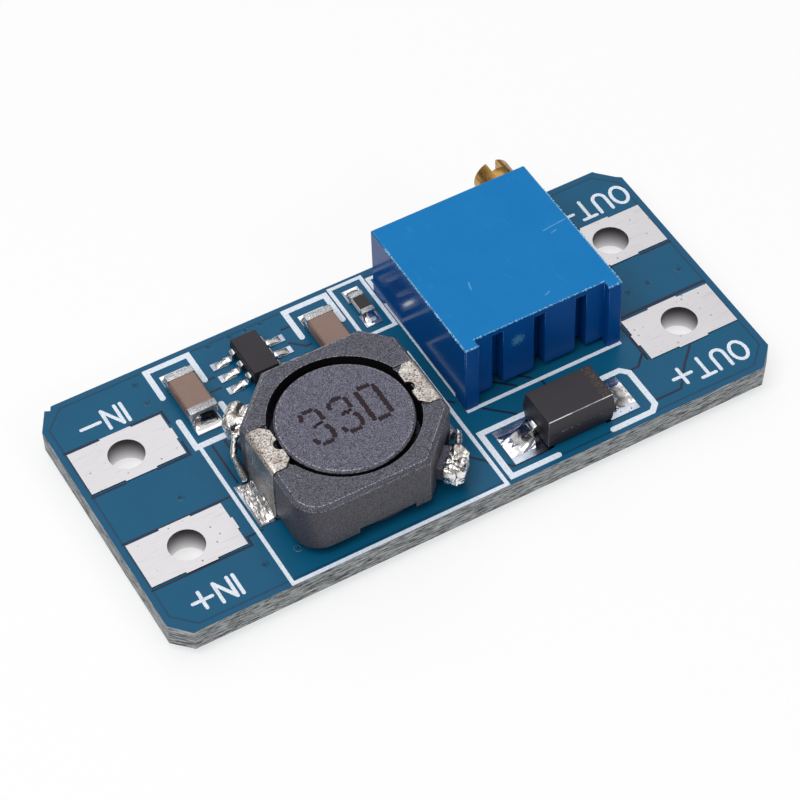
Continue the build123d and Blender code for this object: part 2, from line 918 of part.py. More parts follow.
def trimmer_housing():
    left, right = cavity_x()
    front, back = cavity_y()
    ledge_front, ledge_back = pocket_y()
    body = trimmer_shell() - trimmer_front_cuts()
    body -= block((left, front, board_top), (right, back, level(trimmer_height - trimmer_roof)))
    body -= block((left, ledge_front, board_top), (right, ledge_back, element_top()))
    shoulder = back + screw_shoulder
    bore = screw_head_radius + running_clearance
    body -= along_y(bore, shoulder, trimmer_back() + 1, screw_x(), screw_z())
    neck = screw_thread_radius + running_clearance
    body -= along_y(neck, back - 0.5, shoulder + 0.1, screw_x(), screw_z())
    tip = screw_tip_radius + running_clearance
    tip_end = front - screw_tip_length - running_clearance
    body -= along_y(tip, tip_end, front + 0.5, screw_x(), screw_z())
    return body


def trimmer_screw():
    """Slotted head, neck, threaded shaft at its outer diameter, and a plain tip."""
    x, z = screw_x(), screw_z()
    front, back = cavity_y()
    end = trimmer_back() + screw_proud
    head_start = back + screw_shoulder + running_clearance
    head = along_y(screw_head_radius, head_start, end, x, z)
    head = chamfer(head.faces().sort_by(Axis.Y)[-1].edges(), screw_end_bevel)
    half = screw_slot_width / 2
    wide = 2 * screw_head_radius
    head -= block((x - half, end - screw_slot_depth, z - wide), (x + half, end + wide, z + wide))
    groove_start = trimmer_back() - seal_groove_setback - seal_groove_width
    groove_end = groove_start + seal_groove_width
    ring = along_y(wide, groove_start, groove_end, x, z)
    ring -= along_y(seal_groove_radius, groove_start - wide, groove_end + wide, x, z)
    shaft = along_y(screw_thread_radius, front + running_clearance, head_start + 0.2, x, z)
    tip = along_y(screw_tip_radius, front - screw_tip_length, front + 0.3, x, z)
    return head - ring + shaft + tip


def trimmer_seal():
    """Rubber ring in the groove of the screw's head."""
    inner = seal_groove_radius + running_clearance
    outer = screw_head_radius + running_clearance
    section = RegularPolygon((outer - inner) / 2, 6)
    ring = revolve(Pos((inner + outer) / 2, 0) * section, Axis.Y)
    middle = trimmer_back() - seal_groove_setback - seal_groove_width / 2
    return Pos(screw_x(), middle, screw_z()) * ring


def trimmer_carriage():
    """The block that the screw's thread drives, with an arm that reaches over the element."""
    x, z = screw_x(), screw_z()
    middle = sum(cavity_y()) / 2
    front, back = middle - carriage_length / 2, middle + carriage_length / 2
    right = cavity_x()[1] - carriage_clearance
    top = level(trimmer_height - trimmer_roof) - carriage_clearance
    bottom = element_top() + carriage_lift
    body = block((right - carriage_width, front, bottom), (right, back, top))
    body += block((right - carriage_arm_reach, front, bottom), (right, back, bottom + carriage_arm_height))
    body -= along_y(screw_thread_radius + running_clearance, front - 1, back + 1, x, z)
    body -= block((x, front, z), (right, back, top))
    return body


def wiper_start():
    """X of the wiper's fixed end, near the tip of the carriage's arm."""
    return cavity_x()[1] - carriage_clearance - carriage_arm_reach + wiper_from_tip


def trimmer_wiper():
    """A spring strip under the arm, bowed down until it all but touches the element."""
    top = carriage_lift - wiper_thickness / 2
    low = wiper_gap + wiper_thickness / 2
    start = wiper_start()
    path = [(start - 0.4, top), (start + 0.5, top), (start + 1.2, low), (start + 1.6, low)]
    strip = bent_strip(path, wiper_thickness, wiper_width, wiper_thickness)
    return Pos(0, sum(cavity_y()) / 2, element_top()) * strip


def trimmer_element():
    """The ceramic plate that carries the resistive track, held against the housing's ledge."""
    left, right = cavity_x()
    front, back = pocket_y()
    gap = element_clearance
    low = (left + gap, front + gap, level(element_level))
    return block(low, (right - gap, back - gap, element_top()))


def trimmer_pin(x):
    """A round pin from inside the potting down through the board."""
    low, high = board_bottom - pin_tail, level(element_level) - pin_cover
    return Pos(x, pin_row(), (low + high) / 2) * Cylinder(pin_radius, high - low)


def trimmer_potting():
    """Resin that seals the underside around the roots of the pins."""
    left, right = cavity_x()
    front, back = pocket_y()
    low, high = level(trimmer_standoff), level(element_level)
    body = block((left, front, low), (right, back, high))
    for x in pin_places():
        body -= trimmer_pin(x)
    return body


def pin_joint(x):
    """Solder that fills a pin's hole and rises around its end under the board."""
    tip, waist = pin_radius + joint_tip, joint_radius * 0.6
    profile = [(0, -joint_height), (tip, -joint_height), (waist, -joint_height * 0.4)]
    profile += [(joint_radius, 0), (0, 0)]
    face = Plane.XZ * make_face(Polyline(*profile, close=True))
    plug = Pos(0, 0, board_thickness / 2) * Cylinder(pin_hole_radius, board_thickness)
    return Pos(x, pin_row(), board_bottom) * (revolve(face, Axis.Z) + plug) - trimmer_pin(x)


def all_pieces():
    """Every piece of the module by name."""
    pieces = {"circuit_board": circuit_board(), "legend_print": legend_print()}
    for name, x_side, y_side in terminal_places():
        pieces[name] = terminal(x_side, y_side)
    pieces["solder_lands"] = solder_lands()
    pieces["inductor_ring"] = inductor_ring()
    pieces["inductor_drum_core"] = inductor_drum_core()
    pieces["inductor_winding"] = inductor_winding()
    for side, angle in (("right", 0), ("left", 180)):
        pieces[f"inductor_clip_{side}"] = inductor_clip(angle)
        pieces[f"inductor_wire_end_{side}"] = inductor_wire_end(angle)
        pieces[f"inductor_solder_{side}"] = inductor_solder(angle)
    pieces["converter_chip_body"] = converter_chip_body()
    for number, (side, y) in enumerate(chip_lead_places(), start=1):
        pieces[f"converter_chip_lead_{number}"] = converter_chip_lead(side, y)
    pieces["converter_chip_solder"] = converter_chip_solder()
    pieces["diode_body"] = diode_body()
    for end, side in (("cathode", 1), ("anode", -1)):
        pieces[f"diode_lead_{end}"] = diode_lead(side)
        pieces[f"diode_solder_{end}"] = diode_solder(side)
    pieces |= capacitor_pieces("input_capacitor", input_capacitor_x, input_capacitor_y)
    pieces |= capacitor_pieces("output_capacitor", output_capacitor_x, output_capacitor_y)
    pieces |= resistor_pieces()
    pieces["trimmer_housing"] = trimmer_housing()
    pieces["trimmer_screw"] = trimmer_screw()
    pieces["trimmer_seal"] = trimmer_seal()
    pieces["trimmer_carriage"] = trimmer_carriage()
    pieces["trimmer_wiper"] = trimmer_wiper()
    pieces["trimmer_element"] = trimmer_element()
    pieces["trimmer_potting"] = trimmer_potting()
    for number, x in enumerate(pin_places(), start=1):
        pieces[f"trimmer_pin_{number}"] = trimmer_pin(x)
        pieces[f"pin_joint_{number}"] = pin_joint(x)
    return pieces


os.makedirs("parts", exist_ok=True)
for name, shape in all_pieces().items():
    export_step(shape, f"parts/{name}.step")
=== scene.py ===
import logging
import math
from dataclasses import dataclass
from enum import Enum

import bmesh
import bpy
from mathutils import Matrix, Vector, noise


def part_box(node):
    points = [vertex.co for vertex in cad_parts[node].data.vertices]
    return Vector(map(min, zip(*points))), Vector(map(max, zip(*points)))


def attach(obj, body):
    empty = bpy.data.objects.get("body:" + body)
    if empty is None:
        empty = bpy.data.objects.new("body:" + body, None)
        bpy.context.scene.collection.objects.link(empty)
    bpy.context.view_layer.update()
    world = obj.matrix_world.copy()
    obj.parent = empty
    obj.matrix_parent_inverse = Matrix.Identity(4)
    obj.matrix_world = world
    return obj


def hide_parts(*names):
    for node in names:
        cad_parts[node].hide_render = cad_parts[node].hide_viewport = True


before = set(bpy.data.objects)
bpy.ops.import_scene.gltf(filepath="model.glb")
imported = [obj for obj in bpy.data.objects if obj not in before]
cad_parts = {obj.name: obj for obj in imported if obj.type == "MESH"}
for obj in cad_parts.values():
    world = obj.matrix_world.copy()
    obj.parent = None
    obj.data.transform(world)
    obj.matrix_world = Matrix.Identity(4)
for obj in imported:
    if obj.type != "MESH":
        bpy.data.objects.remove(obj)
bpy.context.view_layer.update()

# Looks of a small boost converter board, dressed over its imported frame. Lengths are in
# metres and written as so many MM. X runs from input to output, Y to the back, Z up.

MM = 0.001
MODULE = "module"
SCREW = "adjusting_screw"
CARRIAGE = "wiper_carriage"

Colour = tuple[float, float, float]
Point = tuple[float, float]
Stroke = list[Point]
Socket = bpy.types.NodeSocket
Material = bpy.types.Material
Object = bpy.types.Object

log = logging.getLogger("converter")


def node_box(node: str) -> tuple[Vector, Vector]:
    """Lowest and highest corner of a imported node."""
    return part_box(node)


def board_top() -> float:
    """Height of the board's upper face."""
    return node_box("circuit_board")[1].z


def board_bottom() -> float:
    """Height of the board's lower face."""
    return node_box("circuit_board")[0].z


# Materials


class Shader:
    """One node material in the making: a surface and the patterns that feed it."""

    def __init__(self, name: str, roughness: float, metallic: float = 0.0) -> None:
        """Start a material with an even roughness."""
        self.material = bpy.data.materials.new(name)
        self.material.use_nodes = True
        self.tree = self.material.node_tree
        self.surface = self.tree.nodes["Principled BSDF"]
        self.surface.inputs["Roughness"].default_value = roughness
        self.surface.inputs["Metallic"].default_value = metallic
        coordinates = self.add("ShaderNodeTexCoord")
        self.point = coordinates.outputs["Object"]
        self.normal = coordinates.outputs["Normal"]

    def add(self, kind: str, **settings: object) -> bpy.types.Node:
        """Add a node and set its options."""
        node = self.tree.nodes.new(kind)
        for key, value in settings.items():
            setattr(node, key, value)
        return node

    def feed(self, socket: Socket, source: object) -> None:
        """Link a socket, or set it where the source is a plain value.

        Args:
            socket: The input to fill.
            source: Another node's output, a number or a colour.
        """
        if isinstance(source, bpy.types.NodeSocket):
            self.tree.links.new(source, socket)
        elif isinstance(source, tuple) and len(socket.default_value) == 4:
            socket.default_value = (*source, 1.0)
        else:
            socket.default_value = source

    def stretched(self, x: float, y: float, z: float) -> Socket:
        """Object coordinates multiplied along each axis."""
        node = self.add("ShaderNodeVectorMath", operation="MULTIPLY")
        self.feed(node.inputs[0], self.point)
        node.inputs[1].default_value = (x, y, z)
        return node.outputs["Vector"]

    def noise(self, size: float, detail: float = 2.0, at: Socket | None = None,
              roughness: float = 0.5) -> Socket:
        """Cloudy pattern.

        Args:
            size: Width of one cloud, in metres.
            detail: How many finer layers it has.
            at: Coordinates to read, or object coordinates.
            roughness: Strength of the finer layers.

        Returns:
            A value around a half.
        """
        node = self.add("ShaderNodeTexNoise")
        self.feed(node.inputs["Vector"], at or self.point)
        node.inputs["Scale"].default_value = 1.0 / size
        node.inputs["Detail"].default_value = detail
        node.inputs["Roughness"].default_value = roughness
        return node.outputs["Fac"]

    def cells(self, size: float, at: Socket | None = None, feature: str = "F1",
              output: str = "Distance") -> Socket:
        """Cell pattern: distance to the nearest of scattered points."""
        node = self.add("ShaderNodeTexVoronoi", feature=feature)
        self.feed(node.inputs["Vector"], at or self.point)
        node.inputs["Scale"].default_value = 1.0 / size
        return node.outputs[output]

    def levels(self, value: Socket, low: float, high: float,
               bottom: float = 0.0, top: float = 1.0) -> Socket:
        """A value spread from one range to another and held at its ends."""
        node = self.add("ShaderNodeMapRange", clamp=True)
        self.feed(node.inputs["Value"], value)
        for name, number in (("From Min", low), ("From Max", high), ("To Min", bottom), ("To Max", top)):
            node.inputs[name].default_value = number
        return node.outputs["Result"]

    def math(self, operation: str, a: object, b: object = 0.0) -> Socket:
        """One arithmetic step on two values."""
        node = self.add("ShaderNodeMath", operation=operation)
        self.feed(node.inputs[0], a)
        self.feed(node.inputs[1], b)
        return node.outputs["Value"]

    def blend(self, share: object, a: object, b: object) -> Socket:
        """Colour a turning into colour b as share goes from 0 to 1."""
        node = self.add("ShaderNodeMix", data_type="RGBA")
        self.feed(node.inputs[0], share)
        self.feed(node.inputs[6], a)
        self.feed(node.inputs[7], b)
        return node.outputs[2]

    def vector(self, operation: str, a: object, b: object) -> Socket:
        """One step of vector arithmetic that gives a vector."""
        node = self.add("ShaderNodeVectorMath", operation=operation)
        self.feed(node.inputs[0], a)
        self.feed(node.inputs[3] if operation == "SCALE" else node.inputs[1], b)
        return node.outputs["Vector"]

    def distance(self, place: Vector) -> Socket:
        """How far the surface lies from one place."""
        node = self.add("ShaderNodeVectorMath", operation="DISTANCE")
        self.feed(node.inputs[0], self.point)
        node.inputs[1].default_value = place
        return node.outputs["Value"]

    def distance_to_line(self, start: Vector, end: Vector) -> Socket:
        """How far the surface lies from the straight line between two places."""
        way = end - start
        reached = self.vector("SUBTRACT", self.point, start)
        along = self.add("ShaderNodeVectorMath", operation="DOT_PRODUCT")
        self.feed(along.inputs[0], reached)
        along.inputs[1].default_value = way / way.length_squared
        share = self.levels(along.outputs["Value"], 0.0, 1.0)
        node = self.add("ShaderNodeVectorMath", operation="DISTANCE")
        self.feed(node.inputs[0], reached)
        self.feed(node.inputs[1], self.vector("SCALE", way, share))
        return node.outputs["Value"]

    def parts(self, vector: Socket) -> list[Socket]:
        """The three components of a vector."""
        node = self.add("ShaderNodeSeparateXYZ")
        self.feed(node.inputs[0], vector)
        return list(node.outputs)

    def relief(self, height: Socket, depth: float, strength: float = 1.0,
               under: Socket | None = None) -> Socket:
        """Normals tilted by a height pattern."""
        node = self.add("ShaderNodeBump")
        node.inputs["Strength"].default_value = strength
        node.inputs["Distance"].default_value = depth
        self.feed(node.inputs["Height"], height)
        if under is not None:
            self.feed(node.inputs["Normal"], under)
        return node.outputs["Normal"]

    def done(self, colour: object = None, roughness: Socket | None = None,
             normal: Socket | None = None, metallic: Socket | None = None) -> Material:
        """Link what was made to the surface.

        Args:
            colour: Base colour, plain or patterned.
            roughness: Patterned roughness.
            normal: Tilted normals.
            metallic: Patterned metalness.

        Returns:
            The finished material.
        """
        for name, source in (("Base Color", colour), ("Roughness", roughness),
                             ("Normal", normal), ("Metallic", metallic)):
            if source is not None:
                self.feed(self.surface.inputs[name], source)
        return self.material


@dataclass(frozen=True)
class SolderMask:
    """Blue lacquer on the board's faces, bare glass-fibre laminate on its cut edges."""

    lacquer: Colour = (0.004, 0.102, 0.208)
    glass: Colour = (0.47, 0.49, 0.50)
    resin: Colour = (0.055, 0.062, 0.066)
    layer: float = 0.075 * MM
    rim: float = 0.38 * MM
    cut: float = 1.1 * MM
    bare: Colour = (0.006, 0.091, 0.192)

    def material(self) -> Material:
        """Lacquer where the surface faces up or down, layers of fibre elsewhere."""
        shader = Shader("solder_mask", 0.28)
        shader.surface.inputs["Specular IOR Level"].default_value = 0.2
        deep = tuple(channel * 0.84 for channel in self.lacquer)
        mottled = shader.blend(shader.noise(2.4 * MM, 3), deep, self.lacquer)
        mottled = shader.blend(self.outside_copper(shader), mottled, self.bare)
        up = shader.math("ABSOLUTE", shader.parts(shader.normal)[2])
        is_face = shader.levels(up, 0.4, 0.6)
        ply = shader.noise(self.layer, 2, shader.stretched(0.09, 0.09, 1.0), 0.6)
        frayed = shader.noise(0.08 * MM, 3, shader.stretched(0.3, 0.3, 1.0), 0.75)
        strands = shader.math("ADD", shader.math("MULTIPLY", ply, 0.7), shader.math("MULTIPLY", frayed, 0.3))
        fibre = shader.blend(shader.levels(strands, 0.40, 0.59), self.resin, self.glass)
        colour = shader.blend(is_face, fibre, mottled)
        rough = shader.levels(is_face, 0.0, 1.0, 0.75, 0.3)
        orange_peel = shader.math("MULTIPLY", shader.noise(0.7 * MM, 2), 0.25)
        height = shader.blend(is_face, strands, orange_peel)
        return shader.done(colour, rough, shader.relief(height, 0.05 * MM, 0.8))

    def outside_copper(self, shader: Shader) -> Socket:
        """Share of 1 on the strip along the board's edge that has no copper under it.

        Args:
            shader: The shader that is being built.

        Returns:
            The share, from 0 to 1.
        """
        _, high = node_box("circuit_board")
        along, across, _ = shader.parts(shader.point)
        past_end = shader.math("SUBTRACT", shader.math("ABSOLUTE", along), high.x - self.rim)
        past_side = shader.math("SUBTRACT", shader.math("ABSOLUTE", across), high.y - self.rim)
        past_corner = shader.math("ADD", shader.math("ADD", past_end, past_side), self.cut)
        furthest = shader.math("MAXIMUM", shader.math("MAXIMUM", past_end, past_side), past_corner)
        return shader.levels(furthest, -0.03 * MM, 0.03 * MM)


@dataclass(frozen=True)
class Ink:
    """Printed ink, a little uneven in thickness."""

    name: str = "legend_ink"
    colour: Colour = (0.80, 0.86, 0.94)
    thin: Colour = (0.62, 0.70, 0.80)
    roughness: float = 0.55
    grain: float = 0.12 * MM

    def material(self) -> Material:
        """Ink that is thinner in small patches."""
        shader = Shader(self.name, self.roughness)
        shader.surface.inputs["Specular IOR Level"].default_value = 0.3
        patches = shader.noise(self.grain, 3)
        colour = shader.blend(shader.levels(patches, 0.3, 0.55), self.thin, self.colour)
        return shader.done(colour, normal=shader.relief(patches, 0.01 * MM, 0.6))


@dataclass(frozen=True)
class Tin:
    """Tinned metal: satin, with wiping marks, small pits and grey patches, and painted shade on its upright faces near
    the board's top.
    """

    name: str = "tinned_copper"
    colour: Colour = (0.77, 0.755, 0.775)
    stain: Colour = (0.62, 0.60, 0.625)
    roughness: float = 0.34
    scratch: float = 0.09 * MM
    grain: float = 0.22 * MM
    rough_relief: float = 0.004 * MM
    stained: float = 0.5
    brushed: float = 0.16
    painted_hole_shade: float = 0.05

    def material(self) -> Material:
        """Satin metal with its marks, and painted shade on upright faces."""
        shader = Shader(self.name, self.roughness, 1.0)
        wiped = shader.noise(self.scratch, 4, shader.stretched(0.06, 1.0, 1.0), 0.6)
        cloud = shader.noise(1.3 * MM, 4)
        pit = shader.levels(shader.cells(self.grain * 1.6), 0.06, 0.2)
        rare = shader.levels(shader.noise(0.9 * MM, 2), 0.50, 0.58)
        pitted = shader.math("SUBTRACT", 1.0, shader.math("MULTIPLY", rare, shader.math("SUBTRACT", 1.0, pit)))
        tone = shader.blend(shader.levels(cloud, 0.35, 0.35 + self.stained), self.stain, self.colour)
        tone = shader.blend(shader.levels(wiped, 0.56, 0.70, 0.0, self.brushed), tone, (0.10, 0.10, 0.11))
        tone = shader.blend(pitted, (0.16, 0.15, 0.16), tone)
        # Painted shade: upright faces are near black from just under the board's top face upwards and lighten towards
        # its underside, as the shade inside the plated holes.
        upright = shader.levels(shader.math("ABSOLUTE", shader.parts(shader.normal)[2]), 0.5, 0.2, 0.0, 1.0)
        depth = shader.levels(shader.parts(shader.point)[2], board_top() - 0.1 * MM, board_bottom())
        depth = shader.math("POWER", depth, 1.6)
        wall = shader.blend(depth, tuple(channel * self.painted_hole_shade for channel in self.stain), self.stain)
        tone = shader.blend(upright, tone, wall)
        height = shader.math("ADD", shader.math("MULTIPLY", wiped, 0.5), pitted)
        rough = shader.levels(cloud, 0.3, 0.7, self.roughness * 0.8, self.roughness * 1.25)
        return shader.done(tone, rough, shader.relief(height, self.rough_relief, 0.7))


@dataclass(frozen=True)
class SpottedTin:
    """Clip metal: silvery, blotched with grey-beige flux and rough to the eye, with painted shade on its sideways
    faces where shade is given.
    """

    name: str = "clip_tin"
    bright: Colour = (0.86, 0.82, 0.78)
    blotch: Colour = (0.46, 0.39, 0.34)
    speck_and_shade: Colour = (0.035, 0.022, 0.02)
    size: float = 0.12 * MM
    shade: float = 0.0

    def material(self) -> Material:
        """Metal and blotches mixed by a fine grain, and painted shade on sideways faces."""
        shader = Shader(self.name, 0.36, 1.0)
        grain = shader.noise(self.size, 3, None, 0.65)
        cloud = shader.noise(0.8 * MM, 2)
        mixed = shader.math("ADD", shader.math("MULTIPLY", grain, 0.7), shader.math("MULTIPLY", cloud, 0.3))
        share = shader.levels(mixed, 0.38, 0.60)
        up = shader.levels(shader.parts(shader.normal)[2], 0.5, 0.9)
        rough = shader.math("ADD", shader.levels(share, 0.0, 1.0, 0.42, 0.26), shader.math("MULTIPLY", up, 0.18))
        tone = shader.blend(share, self.blotch, self.bright)
        specks = shader.levels(shader.noise(self.size * 0.8, 2, None, 0.6), 0.56, 0.63, 0.0, 0.92)
        tone = shader.blend(specks, tone, self.speck_and_shade)
        # Painted shade: faces that turn sideways are blended towards the dark speck colour, by the share given in
        # shade.
        shaded = shader.levels(shader.parts(shader.normal)[2], 0.85, 0.4, 0.0, self.shade)
        tone = shader.blend(shaded, tone, self.speck_and_shade)
        return shader.done(tone, rough, shader.relief(mixed, 0.03 * MM, 0.7))


@dataclass(frozen=True)
class Solder:
    """Solder that has flowed: bright, with soft ripples."""

    name: str = "solder"
    colour: Colour = (0.88, 0.87, 0.87)
    roughness: float = 0.10
    ripple: float = 0.42 * MM
    depth: float = 0.010 * MM
    dull: Colour = (0.60, 0.58, 0.56)

    def material(self) -> Material:
        """Bright metal with rippled normals."""
        shader = Shader(self.name, self.roughness, 1.0)
        ripples = shader.noise(self.ripple, 3)
        dulled = shader.levels(shader.noise(0.5 * MM, 4), 0.5, 0.75)
        tone = shader.blend(dulled, self.colour, self.dull)
        rough = shader.levels(dulled, 0.0, 1.0, self.roughness, self.roughness + 0.2)
        return shader.done(tone, rough, shader.relief(ripples, self.depth, 0.7))


@dataclass(frozen=True)
class Ferrite:
    """Pressed and fired ferrite: dark grey, speckled light and dark."""

    name: str = "ferrite"
    pale: Colour = (0.190, 0.186, 0.260)
    dark: Colour = (0.020, 0.020, 0.028)
    grain: float = 0.055 * MM
    spread: float = 0.17
    middle: float = 0.5
    roughness: float = 0.45
    gap_axis: Point = (0.0, 0.0)
    gap: Point = (0.0, 0.0)

    def material(self) -> Material:
        """Light and dark speckles, a rare rusty fleck, painted shade on the sides, and painted shade near black on the
        upright walls inside the gap where one is given.
        """
        shader = Shader(self.name, self.roughness)
        shader.surface.inputs["Specular IOR Level"].default_value = 0.4
        fine = shader.noise(self.grain, 1)
        coarse = shader.noise(self.grain * 2.2, 2, None, 0.6)
        share = shader.levels(fine, self.middle - self.spread, self.middle + self.spread)
        tone = shader.blend(share, self.dark, self.pale)
        fleck = shader.levels(shader.cells(1.1 * MM), 0.035, 0.05)
        tone = shader.blend(fleck, (0.42, 0.26, 0.22), tone)
        sparkle = shader.levels(shader.cells(0.17 * MM), 0.10, 0.17, 0.5, 0.0)
        tone = shader.blend(sparkle, tone, tuple(channel * 2.6 for channel in self.pale))
        # Painted shade: faces that turn sideways are blended towards the dark colour.
        side = shader.levels(shader.parts(shader.normal)[2], 0.7, 0.3, 0.0, 0.55)
        tone = shader.blend(side, tone, self.dark)
        # Painted shade: the upright walls inside the gap between drum and ring are painted near black.
        if self.gap[1] > 0.0:
            away = shader.vector("SUBTRACT", shader.point, (*self.gap_axis, 0.0))
            across, along, _ = shader.parts(away)
            reach = shader.math("SQRT", shader.math("ADD", shader.math("MULTIPLY", across, across),
                                                    shader.math("MULTIPLY", along, along)))
            upright = shader.levels(shader.math("ABSOLUTE", shader.parts(shader.normal)[2]), 0.6, 0.3, 0.0, 1.0)
            inside = shader.math("MULTIPLY", shader.levels(reach, self.gap[0], self.gap[0] + 0.02 * MM),
                                 shader.levels(reach, self.gap[1], self.gap[1] + 0.02 * MM, 1.0, 0.0))
            tone = shader.blend(shader.math("MULTIPLY", inside, upright), tone, (0.006, 0.005, 0.007))
        height = shader.math("ADD", fine, coarse)
        rough = shader.levels(coarse, 0.35, 0.65, self.roughness + 0.08, self.roughness - 0.12)
        return shader.done(tone, rough, shader.relief(height, 0.014 * MM, 0.6))


@dataclass(frozen=True)
class MouldedEpoxy:
    """Dark package moulding with a fine matte grain."""

    name: str = "moulded_epoxy"
    colour: Colour = (0.0195, 0.0150, 0.0215)
    roughness: float = 0.42
    grain: float = 0.05 * MM
    band: tuple[float, float] | None = None
    band_colour: Colour = (0.085, 0.058, 0.045)
    seam: float | None = None
    painted_edge_highlight: Colour | None = None

    def material(self) -> Material:
        """Plain moulding, with a rough printed band across it, a dark seam and a painted highlight on faces turned
        forward and up, each where it is given.
        """
        shader = Shader(self.name, self.roughness)
        shader.surface.inputs["Specular IOR Level"].default_value = 0.38
        grain = shader.noise(self.grain, 3)
        cloud = shader.noise(0.9 * MM, 2)
        light = tuple(channel * 1.45 for channel in self.colour)
        tone = shader.blend(shader.math("MULTIPLY", grain, cloud), self.colour, light)
        height = grain
        if self.band is not None:
            along, _, _ = shader.parts(shader.point)
            _, _, up = shader.parts(shader.normal)
            start, end = self.band
            edge = shader.math("MULTIPLY", shader.math("SUBTRACT", shader.noise(0.13 * MM, 3), 0.5), 0.25 * MM)
            ragged = shader.math("ADD", along, edge)
            inside = shader.math("MULTIPLY", shader.levels(ragged, start, start + 0.04 * MM),
                                 shader.levels(ragged, end, end - 0.04 * MM))
            inside = shader.math("MULTIPLY", inside, shader.levels(up, 0.7, 0.9))
            speck_and_shade = shader.levels(shader.noise(0.09 * MM, 3, None, 0.7), 0.46, 0.60)
            share = shader.math("MULTIPLY", inside, speck_and_shade)
            tone = shader.blend(share, tone, self.band_colour)
            height = shader.math("ADD", grain, share)
        if self.seam is not None:
            off = shader.math("ABSOLUTE", shader.math("SUBTRACT", shader.parts(shader.point)[2], self.seam))
            line = shader.math("MULTIPLY", shader.levels(off, 0.075 * MM, 0.04 * MM),
                               shader.levels(shader.noise(0.5 * MM, 3), 0.36, 0.46))
            tone = shader.blend(line, tone, (0.003, 0.003, 0.004))
        # Painted highlight: faces turned forward and up, as along the top front edge, are blended towards the pale
        # colour in broken streaks.
        if self.painted_edge_highlight is not None:
            _, forward, up = shader.parts(shader.normal)
            facing = shader.math("MULTIPLY", shader.levels(forward, -0.2, -0.45), shader.levels(up, 0.2, 0.45))
            broken = shader.levels(shader.noise(0.4 * MM, 3, shader.stretched(0.4, 1.0, 1.0)), 0.34, 0.46, 0.35, 1.0)
            tone = shader.blend(shader.math("MULTIPLY", facing, broken), tone, self.painted_edge_highlight)
        return shader.done(tone, normal=shader.relief(height, 0.012 * MM, 0.5))


@dataclass(frozen=True)
class FiredCeramic:
    """Smooth fired ceramic of a chip part."""

    name: str = "capacitor_ceramic"
    colour: Colour = (0.262, 0.166, 0.130)
    shade: Colour = (0.222, 0.138, 0.107)
    roughness: float = 0.38

    def material(self) -> Material:
        """Faint clouds and a fine grain."""
        shader = Shader(self.name, self.roughness)
        cloud = shader.noise(0.5 * MM, 3)
        grain = shader.noise(0.05 * MM, 2)
        tone = shader.blend(cloud, self.shade, self.colour)
        return shader.done(tone, normal=shader.relief(grain, 0.008 * MM, 0.35))


@dataclass(frozen=True)
class Plastic:
    """Moulded plastic, matte on the face that faces up and glossy on its sides, with painted light making the upward
    face a lighter blue.
    """

    name: str = "trimmer_plastic"
    painted_top_light: Colour = (0.004, 0.182, 0.49)
    colour: Colour = (0.001, 0.070, 0.290)
    wear_and_highlight: Colour = (0.035, 0.29, 0.62)
    burr: Colour = (0.30, 0.60, 0.82)
    matte: float = 0.5
    glossy: float = 0.14
    scuff_at: Vector | None = None
    scratches: tuple[tuple[Vector, Vector], ...] = ()
    burred_above: float | None = None

    def material(self) -> Material:
        """Two kinds of gloss, painted light on the upward face, faint flow marks, and a scuff, scratches or burrs
        where they are given.
        """
        shader = Shader(self.name, self.matte)
        shader.surface.inputs["Specular IOR Level"].default_value = 0.13
        _, _, up = shader.parts(shader.normal)
        top = shader.levels(up, 0.6, 0.85)
        grain = shader.noise(0.045 * MM, 3)
        cloud = shader.noise(2.2 * MM, 3)
        mark = shader.levels(shader.noise(0.5 * MM, 5, shader.stretched(1.0, 0.35, 1.0), 0.75), 0.60, 0.72)
        mark = shader.math("MULTIPLY", mark, 0.35)
        # Painted light: upward faces take the lighter blue, the sides the darker one.
        tone = shader.blend(top, self.colour, self.painted_top_light)
        tone = shader.blend(shader.math("MULTIPLY", shader.levels(cloud, 0.3, 0.7, 0.0, 0.12), top), tone, self.wear_and_highlight)
        tone = shader.blend(shader.math("MULTIPLY", mark, top), tone, self.wear_and_highlight)
        sideways = shader.levels(shader.math("ABSOLUTE", shader.parts(shader.normal)[0]), 0.5, 0.8, 0.34, self.glossy)
        rough = shader.math("MAXIMUM", sideways, shader.levels(top, 0.0, 1.0, 0.0, self.matte))
        if self.scuff_at is not None:
            ragged = shader.math("MULTIPLY", shader.noise(0.16 * MM, 5, None, 0.8), 1.6 * MM)
            away = shader.math("ADD", shader.distance(self.scuff_at), ragged)
            scuff = shader.levels(away, 1.2 * MM, 1.05 * MM, 0.0, 0.6)
            tone = shader.blend(scuff, tone, (0.10, 0.30, 0.48))
            rough = shader.math("MAXIMUM", rough, scuff)
        for start, end in self.scratches:
            wander = shader.math("MULTIPLY", shader.math("SUBTRACT", shader.noise(0.2 * MM, 3), 0.5), 0.07 * MM)
            away = shader.math("ADD", shader.distance_to_line(start, end), wander)
            line = shader.levels(away, 0.05 * MM, 0.01 * MM, 0.0, 0.34)
            tone = shader.blend(line, tone, self.burr)
        if self.burred_above is not None:
            high = shader.levels(shader.parts(shader.point)[2], self.burred_above, self.burred_above + 0.7 * MM)
            torn = shader.levels(shader.noise(0.13 * MM, 4, None, 0.7), 0.34, 0.54)
            tone = shader.blend(shader.math("MULTIPLY", torn, high), tone, self.burr)
            rough = shader.math("MAXIMUM", rough, shader.math("MULTIPLY", high, 0.45))
        height = shader.math("MULTIPLY", grain, shader.levels(top, 0.0, 1.0, 0.12, 1.0))
        return shader.done(tone, rough, shader.relief(height, 0.012 * MM, 0.5))


